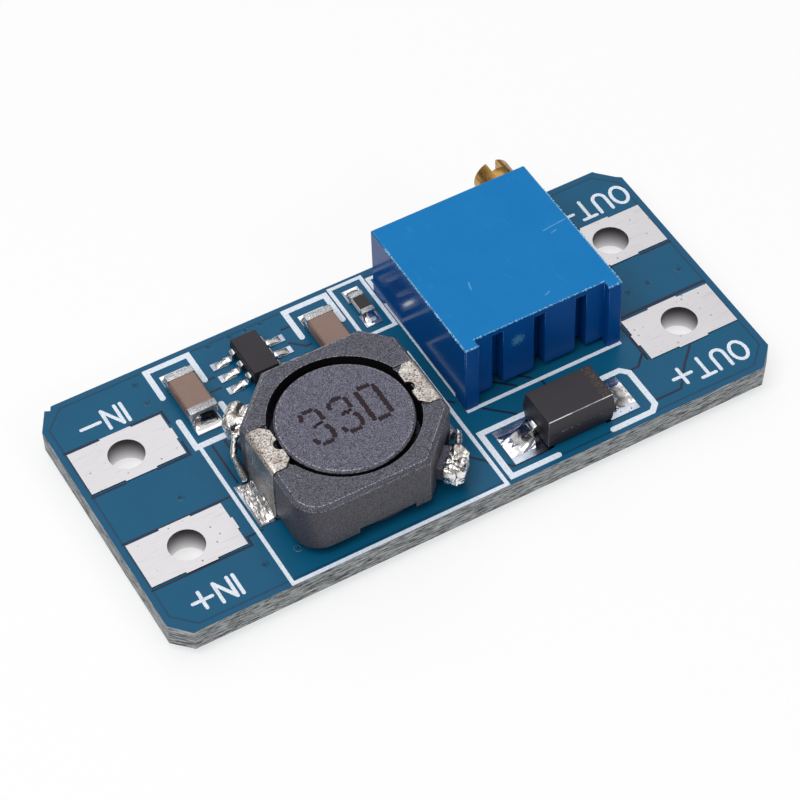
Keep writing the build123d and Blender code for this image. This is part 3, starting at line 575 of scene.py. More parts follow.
@dataclass(frozen=True)
class TurnedBrass:
    """Brass with the rings that a lathe leaves round its axis along Y."""

    name: str = "turned_brass"
    colour: Colour = (0.50, 0.285, 0.085)
    tarnish: Colour = (0.16, 0.085, 0.028)
    roughness: float = 0.26

    def material(self) -> Material:
        """Rings along Y, brown tarnish in streaks."""
        shader = Shader(self.name, self.roughness, 1.0)
        rings = shader.noise(0.09 * MM, 3, shader.stretched(0.05, 1.0, 0.05), 0.7)
        streaks = shader.noise(0.3 * MM, 4, shader.stretched(1.0, 0.35, 1.0), 0.7)
        tone = shader.blend(shader.levels(streaks, 0.50, 0.72), self.colour, self.tarnish)
        rough = shader.levels(streaks, 0.4, 0.7, self.roughness, self.roughness + 0.2)
        return shader.done(tone, rough, shader.relief(rings, 0.012 * MM, 0.6))


@dataclass(frozen=True)
class Plain:
    """A quiet finish with a little cloud and grain, for pieces that are mostly hidden."""

    name: str
    colour: Colour
    roughness: float = 0.5
    metallic: float = 0.0

    def material(self) -> Material:
        """Clouded colour over a fine grain."""
        shader = Shader(self.name, self.roughness, self.metallic)
        shader.surface.inputs["Specular IOR Level"].default_value = 0.3
        cloud = shader.noise(0.8 * MM, 4)
        darker = tuple(channel * 0.8 for channel in self.colour)
        tone = shader.blend(cloud, darker, self.colour)
        return shader.done(tone, normal=shader.relief(shader.noise(0.08 * MM, 3), 0.01 * MM, 0.5))


class Finish(Enum):
    """Every finish on the module, by name."""

    MASK = SolderMask()
    GROOVE = Plain("mask_in_groove", (0.014, 0.019, 0.048), 0.3)
    BORDER = Plain("mask_at_border", (0.003, 0.060, 0.125), 0.3)
    INK = Ink()
    PRINT = Ink("printed_number", (0.016, 0.007, 0.012), (0.030, 0.016, 0.022), 0.6, 0.08 * MM)
    TIN = Tin()
    # Tinned lands in a darker bluish grey: painted reflection of the blue board and dim surroundings.
    LAND = Tin("tinned_land", (0.60, 0.64, 0.72), (0.24, 0.29, 0.40), 0.2, 0.3 * MM, 0.14 * MM, 0.02 * MM, 0.3)
    FROSTED = SpottedTin("frosted_end", (0.78, 0.78, 0.80), (0.42, 0.42, 0.44), (0.22, 0.21, 0.22), 0.09 * MM)
    # The clip's sideways faces carry painted shade.
    CLIP = SpottedTin(shade=0.3)
    SOLDER = Solder()
    SMOOTH_SOLDER = Solder("smooth_solder", (0.90, 0.89, 0.89), 0.06, 0.6 * MM, 0.003 * MM, (0.72, 0.71, 0.71))
    COLD_SOLDER = Solder("cold_solder", (0.86, 0.84, 0.81), 0.22, 0.25 * MM, 0.02 * MM, (0.24, 0.19, 0.17))
    CRINKLED = Solder("crinkled_solder", (0.90, 0.88, 0.87), 0.08, 0.15 * MM, 0.05 * MM, (0.40, 0.36, 0.34))
    WRINKLED = Solder("wrinkled_solder", (0.90, 0.89, 0.89), 0.07, 0.26 * MM, 0.028 * MM, (0.42, 0.40, 0.40))
    # Pale ferrite for the rounded edges of ring and drum: a painted highlight along the edges.
    HIGHLIGHT_FERRITE = Ferrite("worn_ferrite", (0.50, 0.49, 0.54), (0.03, 0.03, 0.04), 0.10 * MM, 0.16, 0.54)
    COPPER = Plain("enamelled_copper", (0.50, 0.16, 0.05), 0.22, 1.0)
    EPOXY = MouldedEpoxy()
    # Rounded edges of the diode: a painted highlight along the top front edge.
    HIGHLIGHT_EPOXY = MouldedEpoxy("rubbed_epoxy", (0.030, 0.028, 0.034), 0.2, painted_edge_highlight=(0.80, 0.79, 0.84))
    FLASH = Plain("moulding_flash", (0.24, 0.23, 0.25), 0.4)
    CAPACITOR = FiredCeramic()
    RESISTOR = FiredCeramic("resistor_ceramic", (0.72, 0.71, 0.68), (0.60, 0.59, 0.56))
    OVERCOAT = Plain("resistor_overcoat", (0.02, 0.019, 0.02), 0.2)
    BURR = Plain("plastic_burr", (0.34, 0.64, 0.86), 0.5)
    BRASS = TurnedBrass()
    RUBBER = Plain("seal_rubber", (0.03, 0.03, 0.03), 0.6)
    CARRIAGE = Plain("carriage_plastic", (0.62, 0.60, 0.55), 0.5)
    SPRING = Plain("spring_brass", (0.60, 0.42, 0.16), 0.3, 1.0)
    ELEMENT = Plain("element_ceramic", (0.62, 0.60, 0.56), 0.4)
    RESIN = Plain("potting_resin", (0.42, 0.36, 0.24), 0.35)


_made: dict[str, Material] = {}


def made(finish: object) -> Material:
    """The material of a finish, made once.

    Args:
        finish: A member of Finish, or a finish of its own with other values.

    Returns:
        The node material.
    """
    recipe = finish.value if isinstance(finish, Finish) else finish
    key = repr(recipe)
    if key not in _made:
        _made[key] = recipe.material()
    return _made[key]


# Meshes


def dress(node: str, finish: object) -> None:
    """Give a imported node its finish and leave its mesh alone."""
    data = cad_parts[node].data
    data.materials.clear()
    data.materials.append(made(finish))
    log.info("dressed %s", node)


def hand_over(piece: Object, body: str, slot: str, *replaced: str) -> Object:
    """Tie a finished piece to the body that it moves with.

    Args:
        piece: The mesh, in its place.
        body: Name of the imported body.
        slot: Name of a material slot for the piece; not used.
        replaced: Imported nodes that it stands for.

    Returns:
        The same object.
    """
    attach(piece, body)
    if replaced:
        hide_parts(*replaced)
    log.info("built %s with %d faces", piece.name, len(piece.data.polygons))
    return piece


def new_object(name: str, mesh: bpy.types.Mesh, *finishes: object) -> Object:
    """Put a mesh into the scene at the origin with its materials."""
    piece = bpy.data.objects.new(name, mesh)
    bpy.context.scene.collection.objects.link(piece)
    for finish in finishes:
        mesh.materials.append(made(finish))
    return piece


def evaluated(piece: Object) -> Object:
    """Turn a piece's modifiers into plain mesh."""
    bpy.context.view_layer.update()
    graph = bpy.context.evaluated_depsgraph_get()
    mesh = bpy.data.meshes.new_from_object(piece.evaluated_get(graph))
    piece.modifiers.clear()
    piece.data = mesh
    return piece


def copy_of(node: str) -> bpy.types.Mesh:
    """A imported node's mesh with its loose triangles joined and its flat faces whole."""
    shape = bmesh.new()
    shape.from_mesh(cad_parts[node].data)
    bmesh.ops.remove_doubles(shape, verts=shape.verts, dist=0.0002 * MM)
    bmesh.ops.dissolve_limit(shape, angle_limit=math.radians(0.5), verts=shape.verts, edges=shape.edges)
    mesh = bpy.data.meshes.new(node + "_shape")
    shape.to_mesh(mesh)
    shape.free()
    return mesh


def softened(node: str, name: str, finish: object, edge: float, wear_and_highlight: object = None,
             segments: int = 2, angle: float = 35.0) -> Object:
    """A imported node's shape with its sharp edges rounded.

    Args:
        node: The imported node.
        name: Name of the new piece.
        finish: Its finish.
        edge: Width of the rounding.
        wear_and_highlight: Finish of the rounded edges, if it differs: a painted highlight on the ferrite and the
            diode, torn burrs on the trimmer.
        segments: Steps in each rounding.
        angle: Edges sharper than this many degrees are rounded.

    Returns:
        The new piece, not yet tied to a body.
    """
    mesh = copy_of(node)
    for polygon in mesh.polygons:
        polygon.use_smooth = True
    piece = new_object(name, mesh, finish, *([wear_and_highlight] if wear_and_highlight is not None else []))
    bevel = piece.modifiers.new("edges", "BEVEL")
    bevel.width = edge
    bevel.segments = segments
    bevel.limit_method = "ANGLE"
    bevel.angle_limit = math.radians(angle)
    bevel.use_clamp_overlap = True
    bevel.material = 1 if wear_and_highlight is not None else -1
    weighted = piece.modifiers.new("normals", "WEIGHTED_NORMAL")
    weighted.keep_sharp = True
    return evaluated(piece)


def roughened(piece: Object, size: float, depth: float, seed: int, layers: int = 3,
              stretch: tuple[float, float, float] = (1.0, 1.0, 1.0)) -> Object:
    """Push a piece's points in and out by a fixed turbulence.

    Args:
        piece: A closed mesh.
        size: Width of one lump.
        depth: How far points move at most.
        seed: Place in the pattern.
        layers: Finer layers of the pattern.
        stretch: Factor of the pattern's coordinates along each axis; below one makes ridges along it.

    Returns:
        The same piece.
    """
    mesh = piece.data
    offset = Vector((seed * 7.3, seed * 3.1, seed * 5.7))
    normals = [vertex.normal.copy() for vertex in mesh.vertices]
    for vertex, normal in zip(mesh.vertices, normals):
        push = noise.fractal(vertex.co * Vector(stretch) / size + offset, 0.7, 2.1, layers)
        vertex.co += normal * max(-depth, min(depth, push * depth))
    return piece


def lobed(piece: Object, size: float, depth: float, seed: int, around: Vector, reach: float) -> Object:
    """Swell a piece into round lobes with creases between them.

    Args:
        piece: A closed mesh.
        size: Width of one lobe.
        depth: Height of the lobes over their creases.
        seed: Place in the pattern.
        around: Middle of the swollen part.
        reach: How far from there the lobes have died away.

    Returns:
        The same piece.
    """
    mesh = piece.data
    offset = Vector((seed * 4.7, seed * 2.9, seed * 8.3))
    normals = [vertex.normal.copy() for vertex in mesh.vertices]
    for vertex, normal in zip(mesh.vertices, normals):
        swell = min(abs(noise.noise(vertex.co / size + offset)) * 2.4, 1.0) ** 0.6
        share = max(0.08, min(1.0, 2.5 * (1.0 - (vertex.co - around).length / reach)))
        vertex.co += normal * (swell - 0.55) * depth * share
    return piece


def grid_solid(rows: list[list[Vector]], floor: float) -> bpy.types.Mesh:
    """A closed solid between a grid of points and a flat floor.

    Args:
        rows: Points of the upper face, row by row, seen from above anticlockwise.
        floor: Height of the flat underside.

    Returns:
        The closed mesh.
    """
    shape = bmesh.new()
    upper = [[shape.verts.new(point) for point in row] for row in rows]
    lower = [[shape.verts.new((point.x, point.y, floor)) for point in row] for row in rows]
    last_row, last_column = len(rows) - 1, len(rows[0]) - 1
    for i in range(last_row):
        for j in range(last_column):
            shape.faces.new((upper[i][j], upper[i][j + 1], upper[i + 1][j + 1], upper[i + 1][j]))
            shape.faces.new((lower[i][j], lower[i + 1][j], lower[i + 1][j + 1], lower[i][j + 1]))
    for j in range(last_column):
        shape.faces.new((lower[0][j], lower[0][j + 1], upper[0][j + 1], upper[0][j]))
        shape.faces.new((upper[last_row][j], upper[last_row][j + 1], lower[last_row][j + 1], lower[last_row][j]))
    for i in range(last_row):
        shape.faces.new((upper[i][0], upper[i + 1][0], lower[i + 1][0], lower[i][0]))
        shape.faces.new((lower[i][last_column], lower[i + 1][last_column],
                         upper[i + 1][last_column], upper[i][last_column]))
    bmesh.ops.recalc_face_normals(shape, faces=shape.faces)
    for face in shape.faces:
        face.smooth = True
    mesh = bpy.data.meshes.new("grid_solid")
    shape.to_mesh(mesh)
    shape.free()
    mesh.set_sharp_from_angle(angle=math.radians(50))
    return mesh


@dataclass
class Pool:
    """Solder wetted up a wall and out over its land, as a closed solid."""

    name: str
    place: Vector
    heading: float
    reach: float
    width: float
    rise: float
    foot: float = 0.012 * MM
    hollow: float = 2.4
    shoulder: float = 0.3
    crown: float = 4.0
    uneven: float = 0.03 * MM
    seed: int = 1
    steps: int = 22

    def height(self, out: float, across: float) -> float:
        """Height over the land, from 0 to 1 outwards and -1 to 1 across."""
        slope = (1.0 - out) ** self.hollow
        side = max(0.0, 1.0 - abs(across) ** self.crown) ** (1.0 - self.shoulder)
        ripple = noise.noise(Vector((out * 3.1 + self.seed, across * 2.3, self.seed * 1.7)))
        wet = side * (1.0 - out ** 6)
        return self.foot + self.rise * slope * side + self.uneven * (0.5 + ripple) * wet

    def build(self, finish: object = Finish.SOLDER) -> Object:
        """Make the solid."""
        turn = Matrix.Translation(self.place) @ Matrix.Rotation(math.radians(self.heading), 4, "Z")
        rows = []
        for j in range(self.steps + 1):
            across = 2.0 * j / self.steps - 1.0
            row = []
            for i in range(self.steps + 1):
                out = i / self.steps
                local = Vector((out * self.reach, across * self.width / 2, self.height(out, across)))
                row.append(turn @ local)
            rows.append(row)
        return new_object(self.name, grid_solid(rows, self.place.z), finish)


# Geometry-node trees


class Graph:
    """A tree of geometry nodes with named inputs, ending in one material."""

    def __init__(self, name: str, *sizes: str) -> None:
        """Start a tree whose inputs are a mesh, the named sizes and a finish."""
        self.tree = bpy.data.node_groups.new(name, "GeometryNodeTree")
        face = self.tree.interface
        face.new_socket(name="Geometry", in_out="OUTPUT", socket_type="NodeSocketGeometry")
        face.new_socket(name="Geometry", in_out="INPUT", socket_type="NodeSocketGeometry")
        for size in sizes:
            face.new_socket(name=size, in_out="INPUT", socket_type="NodeSocketFloat")
        face.new_socket(name="Finish", in_out="INPUT", socket_type="NodeSocketMaterial")
        self.entry = self.tree.nodes.new("NodeGroupInput")

    def size(self, name: str) -> Socket:
        """The output of one named input."""
        return self.entry.outputs[name]

    def add(self, kind: str, inputs: dict | None = None, **settings: object) -> bpy.types.Node:
        """Add a node, set its options and fill its inputs by name or number."""
        node = self.tree.nodes.new(kind)
        for key, value in settings.items():
            setattr(node, key, value)
        for key, value in (inputs or {}).items():
            socket = node.inputs[key]
            if isinstance(value, bpy.types.NodeSocket):
                self.tree.links.new(value, socket)
            else:
                socket.default_value = value
        return node

    def times(self, value: Socket, factor: float) -> Socket:
        """A value multiplied by a number."""
        return self.add("ShaderNodeMath", {0: value, 1: factor}, operation="MULTIPLY").outputs[0]

    def close(self, *shapes: Socket, union: bool = False) -> "Graph":
        """Join the shapes, make them real, give them the finish and end the tree."""
        joined = self.add("GeometryNodeJoinGeometry")
        for shape in reversed(shapes):
            self.tree.links.new(shape, joined.inputs[0])
        real = self.add("GeometryNodeRealizeInstances", {0: joined.outputs[0]})
        out = real.outputs[0]
        if union:
            merged = self.add("GeometryNodeMeshBoolean", operation="UNION", solver="EXACT")
            self.tree.links.new(out, merged.inputs["Mesh 2"])
            merged.inputs["Self Intersection"].default_value = True
            out = merged.outputs["Mesh"]
        painted = self.add("GeometryNodeSetMaterial", {"Geometry": out, "Material": self.size("Finish")})
        end = self.tree.nodes.new("NodeGroupOutput")
        self.tree.links.new(painted.outputs[0], end.inputs[0])
        return self

    def grow(self, name: str, base: bpy.types.Mesh, finish: object, **sizes: float) -> Object:
        """Run the tree on a mesh.

        Args:
            name: Name of the piece.
            base: The points or edges that it follows.
            finish: Its finish.
            sizes: Values of the named inputs.

        Returns:
            The piece as plain mesh.
        """
        piece = bpy.data.objects.new(name, base)
        bpy.context.scene.collection.objects.link(piece)
        modifier = piece.modifiers.new(name, "NODES")
        modifier.node_group = self.tree
        values = {**sizes, "Finish": made(finish)}
        for item in self.tree.interface.items_tree:
            if item.item_type == "SOCKET" and item.in_out == "INPUT" and item.name in values:
                modifier[item.identifier] = values[item.name]
        return evaluated(piece)


def ribbon_graph() -> Graph:
    """Flat strips along separate edges, with a round end at every point."""
    graph = Graph("ribbons", "Width", "Thickness")
    line = graph.add("GeometryNodeMeshToCurve", {0: graph.size("Geometry")})
    level = graph.add("GeometryNodeSetCurveNormal", {0: line.outputs[0]}, mode="Z_UP")
    section = graph.add("GeometryNodeCurvePrimitiveQuadrilateral",
                        {"Width": graph.size("Width"), "Height": graph.size("Thickness")})
    strip = graph.add("GeometryNodeCurveToMesh", {0: level.outputs[0], 1: section.outputs[0], "Fill Caps": True})
    end = graph.add("GeometryNodeMeshCylinder", {
        "Vertices": 20, "Radius": graph.times(graph.size("Width"), 0.5), "Depth": graph.size("Thickness")})
    ends = graph.add("GeometryNodeInstanceOnPoints", {0: graph.size("Geometry"), "Instance": end.outputs[0]})
    return graph.close(strip.outputs[0], ends.outputs[0], union=True)


def dash_graph() -> Graph:
    """Short printed dashes along lines, each a little off its place."""
    graph = Graph("dashes", "Pitch", "Length", "Width", "Thickness")
    line = graph.add("GeometryNodeMeshToCurve", {0: graph.size("Geometry")})
    spaced = graph.add("GeometryNodeResampleCurve", {0: line.outputs[0], "Length": graph.size("Pitch")}, mode="LENGTH")
    tangent = graph.add("GeometryNodeInputTangent")
    turn = graph.add("FunctionNodeAlignRotationToVector", {"Vector": tangent.outputs[0]}, axis="X")
    dash = graph.add("GeometryNodeMeshCylinder", {"Vertices": 8, "Radius": 0.5, "Depth": 1.0})
    size = graph.add("ShaderNodeCombineXYZ", {0: graph.size("Length"), 1: graph.size("Width"),
                                              2: graph.size("Thickness")})
    sized = graph.add("GeometryNodeTransform", {0: dash.outputs[0], "Scale": size.outputs[0]})
    placed = graph.add("GeometryNodeInstanceOnPoints", {
        0: spaced.outputs[0], "Instance": sized.outputs[0], "Rotation": turn.outputs[0]})
    scale = graph.add("FunctionNodeRandomValue", {"Min": (0.7, 0.75, 0.5), "Max": (1.1, 1.1, 1.0), "Seed": 3},
                      data_type="FLOAT_VECTOR")
    scaled = graph.add("GeometryNodeScaleInstances", {0: placed.outputs[0], "Scale": scale.outputs[0]})
    drift = graph.add("FunctionNodeRandomValue", {
        "Min": (-0.02 * MM, -0.02 * MM, 0.0), "Max": (0.02 * MM, 0.02 * MM, 0.0), "Seed": 8}, data_type="FLOAT_VECTOR")
    moved = graph.add("GeometryNodeTranslateInstances", {
        0: scaled.outputs[0], "Translation": drift.outputs[0], "Local Space": False})
    return graph.close(moved.outputs[0])


def bump_graph() -> Graph:
    """Low rings on points, as the lacquer makes over a plated hole."""
    graph = Graph("bumps", "Radius", "Swell", "Flatness")
    circle = graph.add("GeometryNodeCurvePrimitiveCircle", {"Resolution": 24, "Radius": graph.size("Radius")})
    section = graph.add("GeometryNodeCurvePrimitiveCircle", {"Resolution": 8, "Radius": graph.size("Swell")})
    ring = graph.add("GeometryNodeCurveToMesh", {0: circle.outputs[0], 1: section.outputs[0]})
    flat = graph.add("ShaderNodeCombineXYZ", {0: 1.0, 1: 1.0, 2: graph.size("Flatness")})
    low = graph.add("GeometryNodeTransform", {0: ring.outputs[0], "Scale": flat.outputs[0]})
    placed = graph.add("GeometryNodeInstanceOnPoints", {0: graph.size("Geometry"), "Instance": low.outputs[0]})
    smooth = graph.add("GeometryNodeSetShadeSmooth", {0: placed.outputs[0]})
    return graph.close(smooth.outputs[0])


def coil_graph(turns: float) -> Graph:
    """Round wire wound in a helix about Z, one helix at each point."""
    graph = Graph("coils", "Radius", "Height", "Wire")
    helix = graph.add("GeometryNodeCurveSpiral", {
        "Resolution": 40, "Rotations": turns, "Start Radius": graph.size("Radius"),
        "End Radius": graph.size("Radius"), "Height": graph.size("Height")})
    section = graph.add("GeometryNodeCurvePrimitiveCircle", {"Resolution": 10, "Radius": graph.size("Wire")})
    wire = graph.add("GeometryNodeCurveToMesh", {0: helix.outputs[0], 1: section.outputs[0], "Fill Caps": True})
    placed = graph.add("GeometryNodeInstanceOnPoints", {0: graph.size("Geometry"), "Instance": wire.outputs[0]})
    smooth = graph.add("GeometryNodeSetShadeSmooth", {0: placed.outputs[0]})
    return graph.close(smooth.outputs[0])


def burr_graph() -> Graph:
    """Torn flakes along edges."""
    graph = Graph("burrs", "Pitch", "Size")
    line = graph.add("GeometryNodeMeshToCurve", {0: graph.size("Geometry")})
    spaced = graph.add("GeometryNodeResampleCurve", {0: line.outputs[0], "Length": graph.size("Pitch")}, mode="LENGTH")
    flake = graph.add("GeometryNodeMeshIcoSphere", {"Radius": graph.size("Size"), "Subdivisions": 1})
    pick = graph.add("FunctionNodeRandomValue", {"Probability": 0.62, "Seed": 5}, data_type="BOOLEAN")
    spin = graph.add("FunctionNodeRandomValue", {"Min": (0.0, 0.0, 0.0), "Max": (6.28, 6.28, 6.28), "Seed": 6},
                     data_type="FLOAT_VECTOR")
    scale = graph.add("FunctionNodeRandomValue", {"Min": (0.3, 0.2, 0.2), "Max": (1.9, 0.9, 0.7), "Seed": 7},
                      data_type="FLOAT_VECTOR")
    chance = [socket for socket in pick.outputs if socket.type == "BOOLEAN"][0]
    placed = graph.add("GeometryNodeInstanceOnPoints", {
        0: spaced.outputs[0], "Selection": chance, "Instance": flake.outputs[0],
        "Rotation": spin.outputs[0], "Scale": scale.outputs[0]})
    return graph.close(placed.outputs[0])


def edge_mesh(strokes: list[Stroke], height: float, joined: bool = True) -> bpy.types.Mesh:
    """Lines as loose edges at one height.

    Args:
        strokes: Points of each line, in metres.
        height: Their height.
        joined: Whether the runs of a line share their points.

    Returns:
        A mesh of edges.
    """
    points: list[tuple[float, float, float]] = []
    edges: list[tuple[int, int]] = []
    for stroke in strokes:
        if joined:
            edges += [(len(points) + i, len(points) + i + 1) for i in range(len(stroke) - 1)]
            points += [(x, y, height) for x, y in stroke]
            continue
        for start, end in zip(stroke, stroke[1:]):
            edges.append((len(points), len(points) + 1))
            points += [(*start, height), (*end, height)]
    mesh = bpy.data.meshes.new("lines")
    mesh.from_pydata(points, edges, [])
    return mesh


def point_mesh(points: list[Vector]) -> bpy.types.Mesh:
    """Points alone."""
    mesh = bpy.data.meshes.new("points")
    mesh.from_pydata(points, [], [])
    return mesh


# Lettering


class Glyph(Enum):
    """Strokes of plain characters in a box one unit high."""

    MINUS = [[(0.0, 0.5), (0.84, 0.5)]]
    PLUS = [[(0.0, 0.5), (0.84, 0.5)], [(0.42, 0.92), (0.42, 0.08)]]
    LETTER_I = [[(0.0, 0.0), (0.0, 1.0)]]
    LETTER_N = [[(0.0, 0.0), (0.0, 1.0), (0.60, 0.0), (0.60, 1.0)]]
    LETTER_O = [[(0.34 + 0.34 * math.cos(k * math.pi / 9), 0.5 + 0.5 * math.sin(k * math.pi / 9)) for k in range(19)]]
    LETTER_U = [[(0.0, 1.0)] + [(0.28 - 0.28 * math.cos(k * math.pi / 8), 0.3 - 0.3 * math.sin(k * math.pi / 8))
                                for k in range(9)] + [(0.56, 1.0)]]
    LETTER_T = [[(0.0, 1.0), (0.62, 1.0)], [(0.31, 1.0), (0.31, 0.0)]]
    DIGIT_3 = [[(0.0, 0.80), (0.04, 0.92)], [(0.15, 0.97), (0.38, 0.97)], [(0.47, 0.90), (0.50, 0.80), (0.50, 0.66)],
               [(0.40, 0.53), (0.20, 0.53)], [(0.47, 0.43), (0.52, 0.34), (0.52, 0.18), (0.48, 0.10)],
               [(0.38, 0.03), (0.15, 0.03)], [(0.04, 0.09), (0.0, 0.20)]]
    DIGIT_0 = [[(0.02, 0.08), (0.02, 0.90)], [(0.15, 0.97), (0.40, 0.97)], [(0.52, 0.92), (0.52, 0.10)],
               [(0.40, 0.03), (0.15, 0.03)]]

    @property
    def width(self) -> float:
        """How wide the character is."""
        return max(x for stroke in self.value for x, _ in stroke)


@dataclass
class Word:
    """A row of characters in the plane of the board."""

    glyphs: list[Glyph]
    centre: Point
    height: float
    gap: float
    turned: bool = True
    narrow: float = 1.0

    def strokes(self) -> list[Stroke]:
        """The word's strokes in place, read from the back of the board if turned."""
        wide = self.height * self.narrow
        length = sum(glyph.width for glyph in self.glyphs) * wide + self.gap * (len(self.glyphs) - 1)
        way = -1.0 if self.turned else 1.0
        start = -length / 2
        placed = []
        for glyph in self.glyphs:
            for stroke in glyph.value:
                placed.append([(self.centre[0] + way * (start + x * wide),
                                self.centre[1] + way * (y - 0.5) * self.height) for x, y in stroke])
            start += glyph.width * wide + self.gap
        return placed


# The module


@dataclass
class Board:
    """Board, terminals, legend and what shows of the copper under the lacquer."""

    groove_width: float = 0.13 * MM
    groove_thickness: float = 0.008 * MM
    label_height: float = 1.3 * MM
    label_stroke: float = 0.2 * MM
    label_thickness: float = 0.02 * MM
    border: float = 0.38 * MM
    via_radius: float = 0.17 * MM

    def build(self) -> None:
        """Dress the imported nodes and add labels, copper edges and plated holes."""
        dress("circuit_board", Finish.MASK)
        dress("legend_print", Finish.INK)
        dress("solder_lands", Finish.LAND)
        for side in ("in", "out"):
            for sign in ("minus", "plus"):
                dress(f"terminal_{side}_{sign}", Finish.TIN)
        self.labels()
        self.copper_edges()
        self.plated_holes()

    def labels(self) -> None:
        """The four terminals' plain labels, printed to be read from the back."""
        into = [Glyph.LETTER_I, Glyph.LETTER_N]
        out = [Glyph.LETTER_O, Glyph.LETTER_U, Glyph.LETTER_T]
        gap = 0.34 * MM
        words = [
            Word(into + [Glyph.MINUS], (-14.9 * MM, 6.15 * MM), self.label_height, gap),
            Word(into + [Glyph.PLUS], (-15.0 * MM, -6.95 * MM), self.label_height, gap),
            Word(out + [Glyph.MINUS], (15.3 * MM, 6.2 * MM), self.label_height, gap),
            Word(out + [Glyph.PLUS], (14.6 * MM, -6.8 * MM), self.label_height, gap),
        ]
        lines = [stroke for word in words for stroke in word.strokes()]
        base = edge_mesh(lines, board_top() + self.label_thickness / 2, joined=False)
        piece = ribbon_graph().grow("terminal_labels", base, Finish.INK,
                                    Width=self.label_stroke, Thickness=self.label_thickness)
        hand_over(piece, MODULE, "legend_ink")

    def pad_outline(self, node: str) -> tuple[float, float, float, float]:
        """A terminal's pad in plan, with the narrow moat round it."""
        low, high = node_box(node)
        moat = self.groove_width / 2
        return low.x - moat, low.y - moat, high.x + moat, high.y + moat

    def border_line(self) -> Stroke:
        """The edge of the copper just inside the board's own edge."""
        low, high = node_box("circuit_board")
        cut, inset = 1.1 * MM, self.border
        left, right = low.x + inset, high.x - inset
        front, back = low.y + inset, high.y - inset
        return [(left + cut, front), (right - cut, front), (right, front + cut), (right, back - cut),
                (right - cut, back), (left + cut, back), (left, back - cut), (left, front + cut),
                (left + cut, front)]

    def copper_lines(self) -> list[Stroke]:
        """Gaps in the copper: round the pads, and between the tracks that show."""
        left, front, right, back = self.pad_outline("terminal_in_minus")
        step = 1.9 * MM
        lines = [[(left, back), (left + step, back)], [(right - step, back), (right, back), (right, back - 0.9 * MM)],
                 [(right, front + 1.0 * MM), (right, front), (right - step, front)],
                 [(left + step, front), (left, front)]]
        left, front, right, back = self.pad_outline("terminal_in_plus")
        lines += [[(left, back), (right + 0.7 * MM, back)],
                  [(left, front), (right, front), (right, front + 0.6 * MM), (right + 0.9 * MM, front + 0.6 * MM)]]
        left, front, right, back = self.pad_outline("terminal_out_minus")
        lines += [[(left, front), (left + step, front)], [(right - step, front), (right, front)],
                  [(left, back), (left + step, back)]]
        left, front, right, back = self.pad_outline("terminal_out_plus")
        lines += [[(left, back + 0.1 * MM), (right, back + 0.1 * MM)], [(left, back), (left, front + 0.3 * MM)]]
        return lines + self.tracks()

    def tracks(self) -> list[Stroke]:
        """Gaps between tracks near the small parts."""
        drawn = [
            [(-10.72, 1.7), (-10.72, -1.15)],
            [(-10.0, 1.7), (-10.0, -1.3)],
            [(-9.55, 1.7), (-9.55, 0.3)],
            [(-9.0, 5.85), (-8.5, 5.85)],
            [(-9.1, 5.02), (-8.5, 5.02)],
            [(-3.9, 5.95), (-3.2, 5.3), (-2.9, 5.3)],
            [(-3.8, 7.0), (-3.1, 7.0)],
            [(1.25, -1.85), (1.6, -2.2)],
            [(2.5, -3.15), (4.0, -4.55)],
            [(0.4, -5.8), (1.05, -6.5), (1.05, -6.6)],
            [(1.75, -7.1), (2.05, -7.5), (4.3, -7.5)],
            [(3.9, -1.9), (5.0, -2.85)],
            [(5.2, -2.1), (5.95, -2.8)],
            [(6.35, -3.25), (6.35, -4.3)],
            [(12.0, -2.6), (12.0, -4.3), (11.25, -5.05), (10.7, -5.05)],
            [(14.4, -5.2), (13.5, -6.1), (12.35, -7.5), (10.65, -7.5)],
            [(12.1, -1.62), (17.5, -1.62)],
        ]
        return [[(x * MM, y * MM) for x, y in line] for line in drawn]

    def copper_edges(self) -> None:
        """The lines that the copper's edges draw under the lacquer, above and below."""
        base = edge_mesh(self.copper_lines(), board_top() + self.groove_thickness / 2, joined=False)
        piece = ribbon_graph().grow("copper_gaps_above", base, Finish.GROOVE,
                                    Width=self.groove_width, Thickness=self.groove_thickness)
        hand_over(piece, MODULE, "solder_mask")
        base = edge_mesh([self.border_line()], board_top() + self.groove_thickness / 3, joined=False)
        piece = ribbon_graph().grow("copper_border_above", base, Finish.BORDER,
                                    Width=self.groove_width * 0.7, Thickness=self.groove_thickness)
        hand_over(piece, MODULE, "solder_mask")
        rounds = [self.border_line()]
        for node in ("terminal_in_minus", "terminal_in_plus", "terminal_out_minus", "terminal_out_plus"):
            left, front, right, back = self.pad_outline(node)
            rounds.append([(left, front), (right, front), (right, back), (left, back), (left, front)])
        base = edge_mesh(rounds, board_bottom() - self.groove_thickness / 2, joined=False)
        piece = ribbon_graph().grow("copper_gaps_below", base, Finish.GROOVE,
                                    Width=self.groove_width, Thickness=self.groove_thickness)
        hand_over(piece, MODULE, "solder_mask")

    def plated_holes(self) -> None:
        """Small plated holes under the lacquer."""
        places = [(-12.35, 7.55), (-12.35, 6.1), (-12.0, -6.55), (-13.7, -0.5), (13.6, -0.25), (14.9, -0.2),
                  (16.9, -0.2), (-7.8, 8.0), (-6.5, 8.05), (-5.5, 8.0), (-4.6, 8.02), (-10.05, -6.5)]
        points = [Vector((x * MM, y * MM, board_top())) for x, y in places]
        piece = bump_graph().grow("plated_hole_rims", point_mesh(points), Finish.MASK,
                                  Radius=self.via_radius, Swell=0.06 * MM, Flatness=0.3)
        hand_over(piece, MODULE, "solder_mask")
        piece = bump_graph().grow("plated_hole_dimples", point_mesh(points), Finish.BORDER,
                                  Radius=0.05 * MM, Swell=0.06 * MM, Flatness=0.12)
        hand_over(piece, MODULE, "solder_mask")


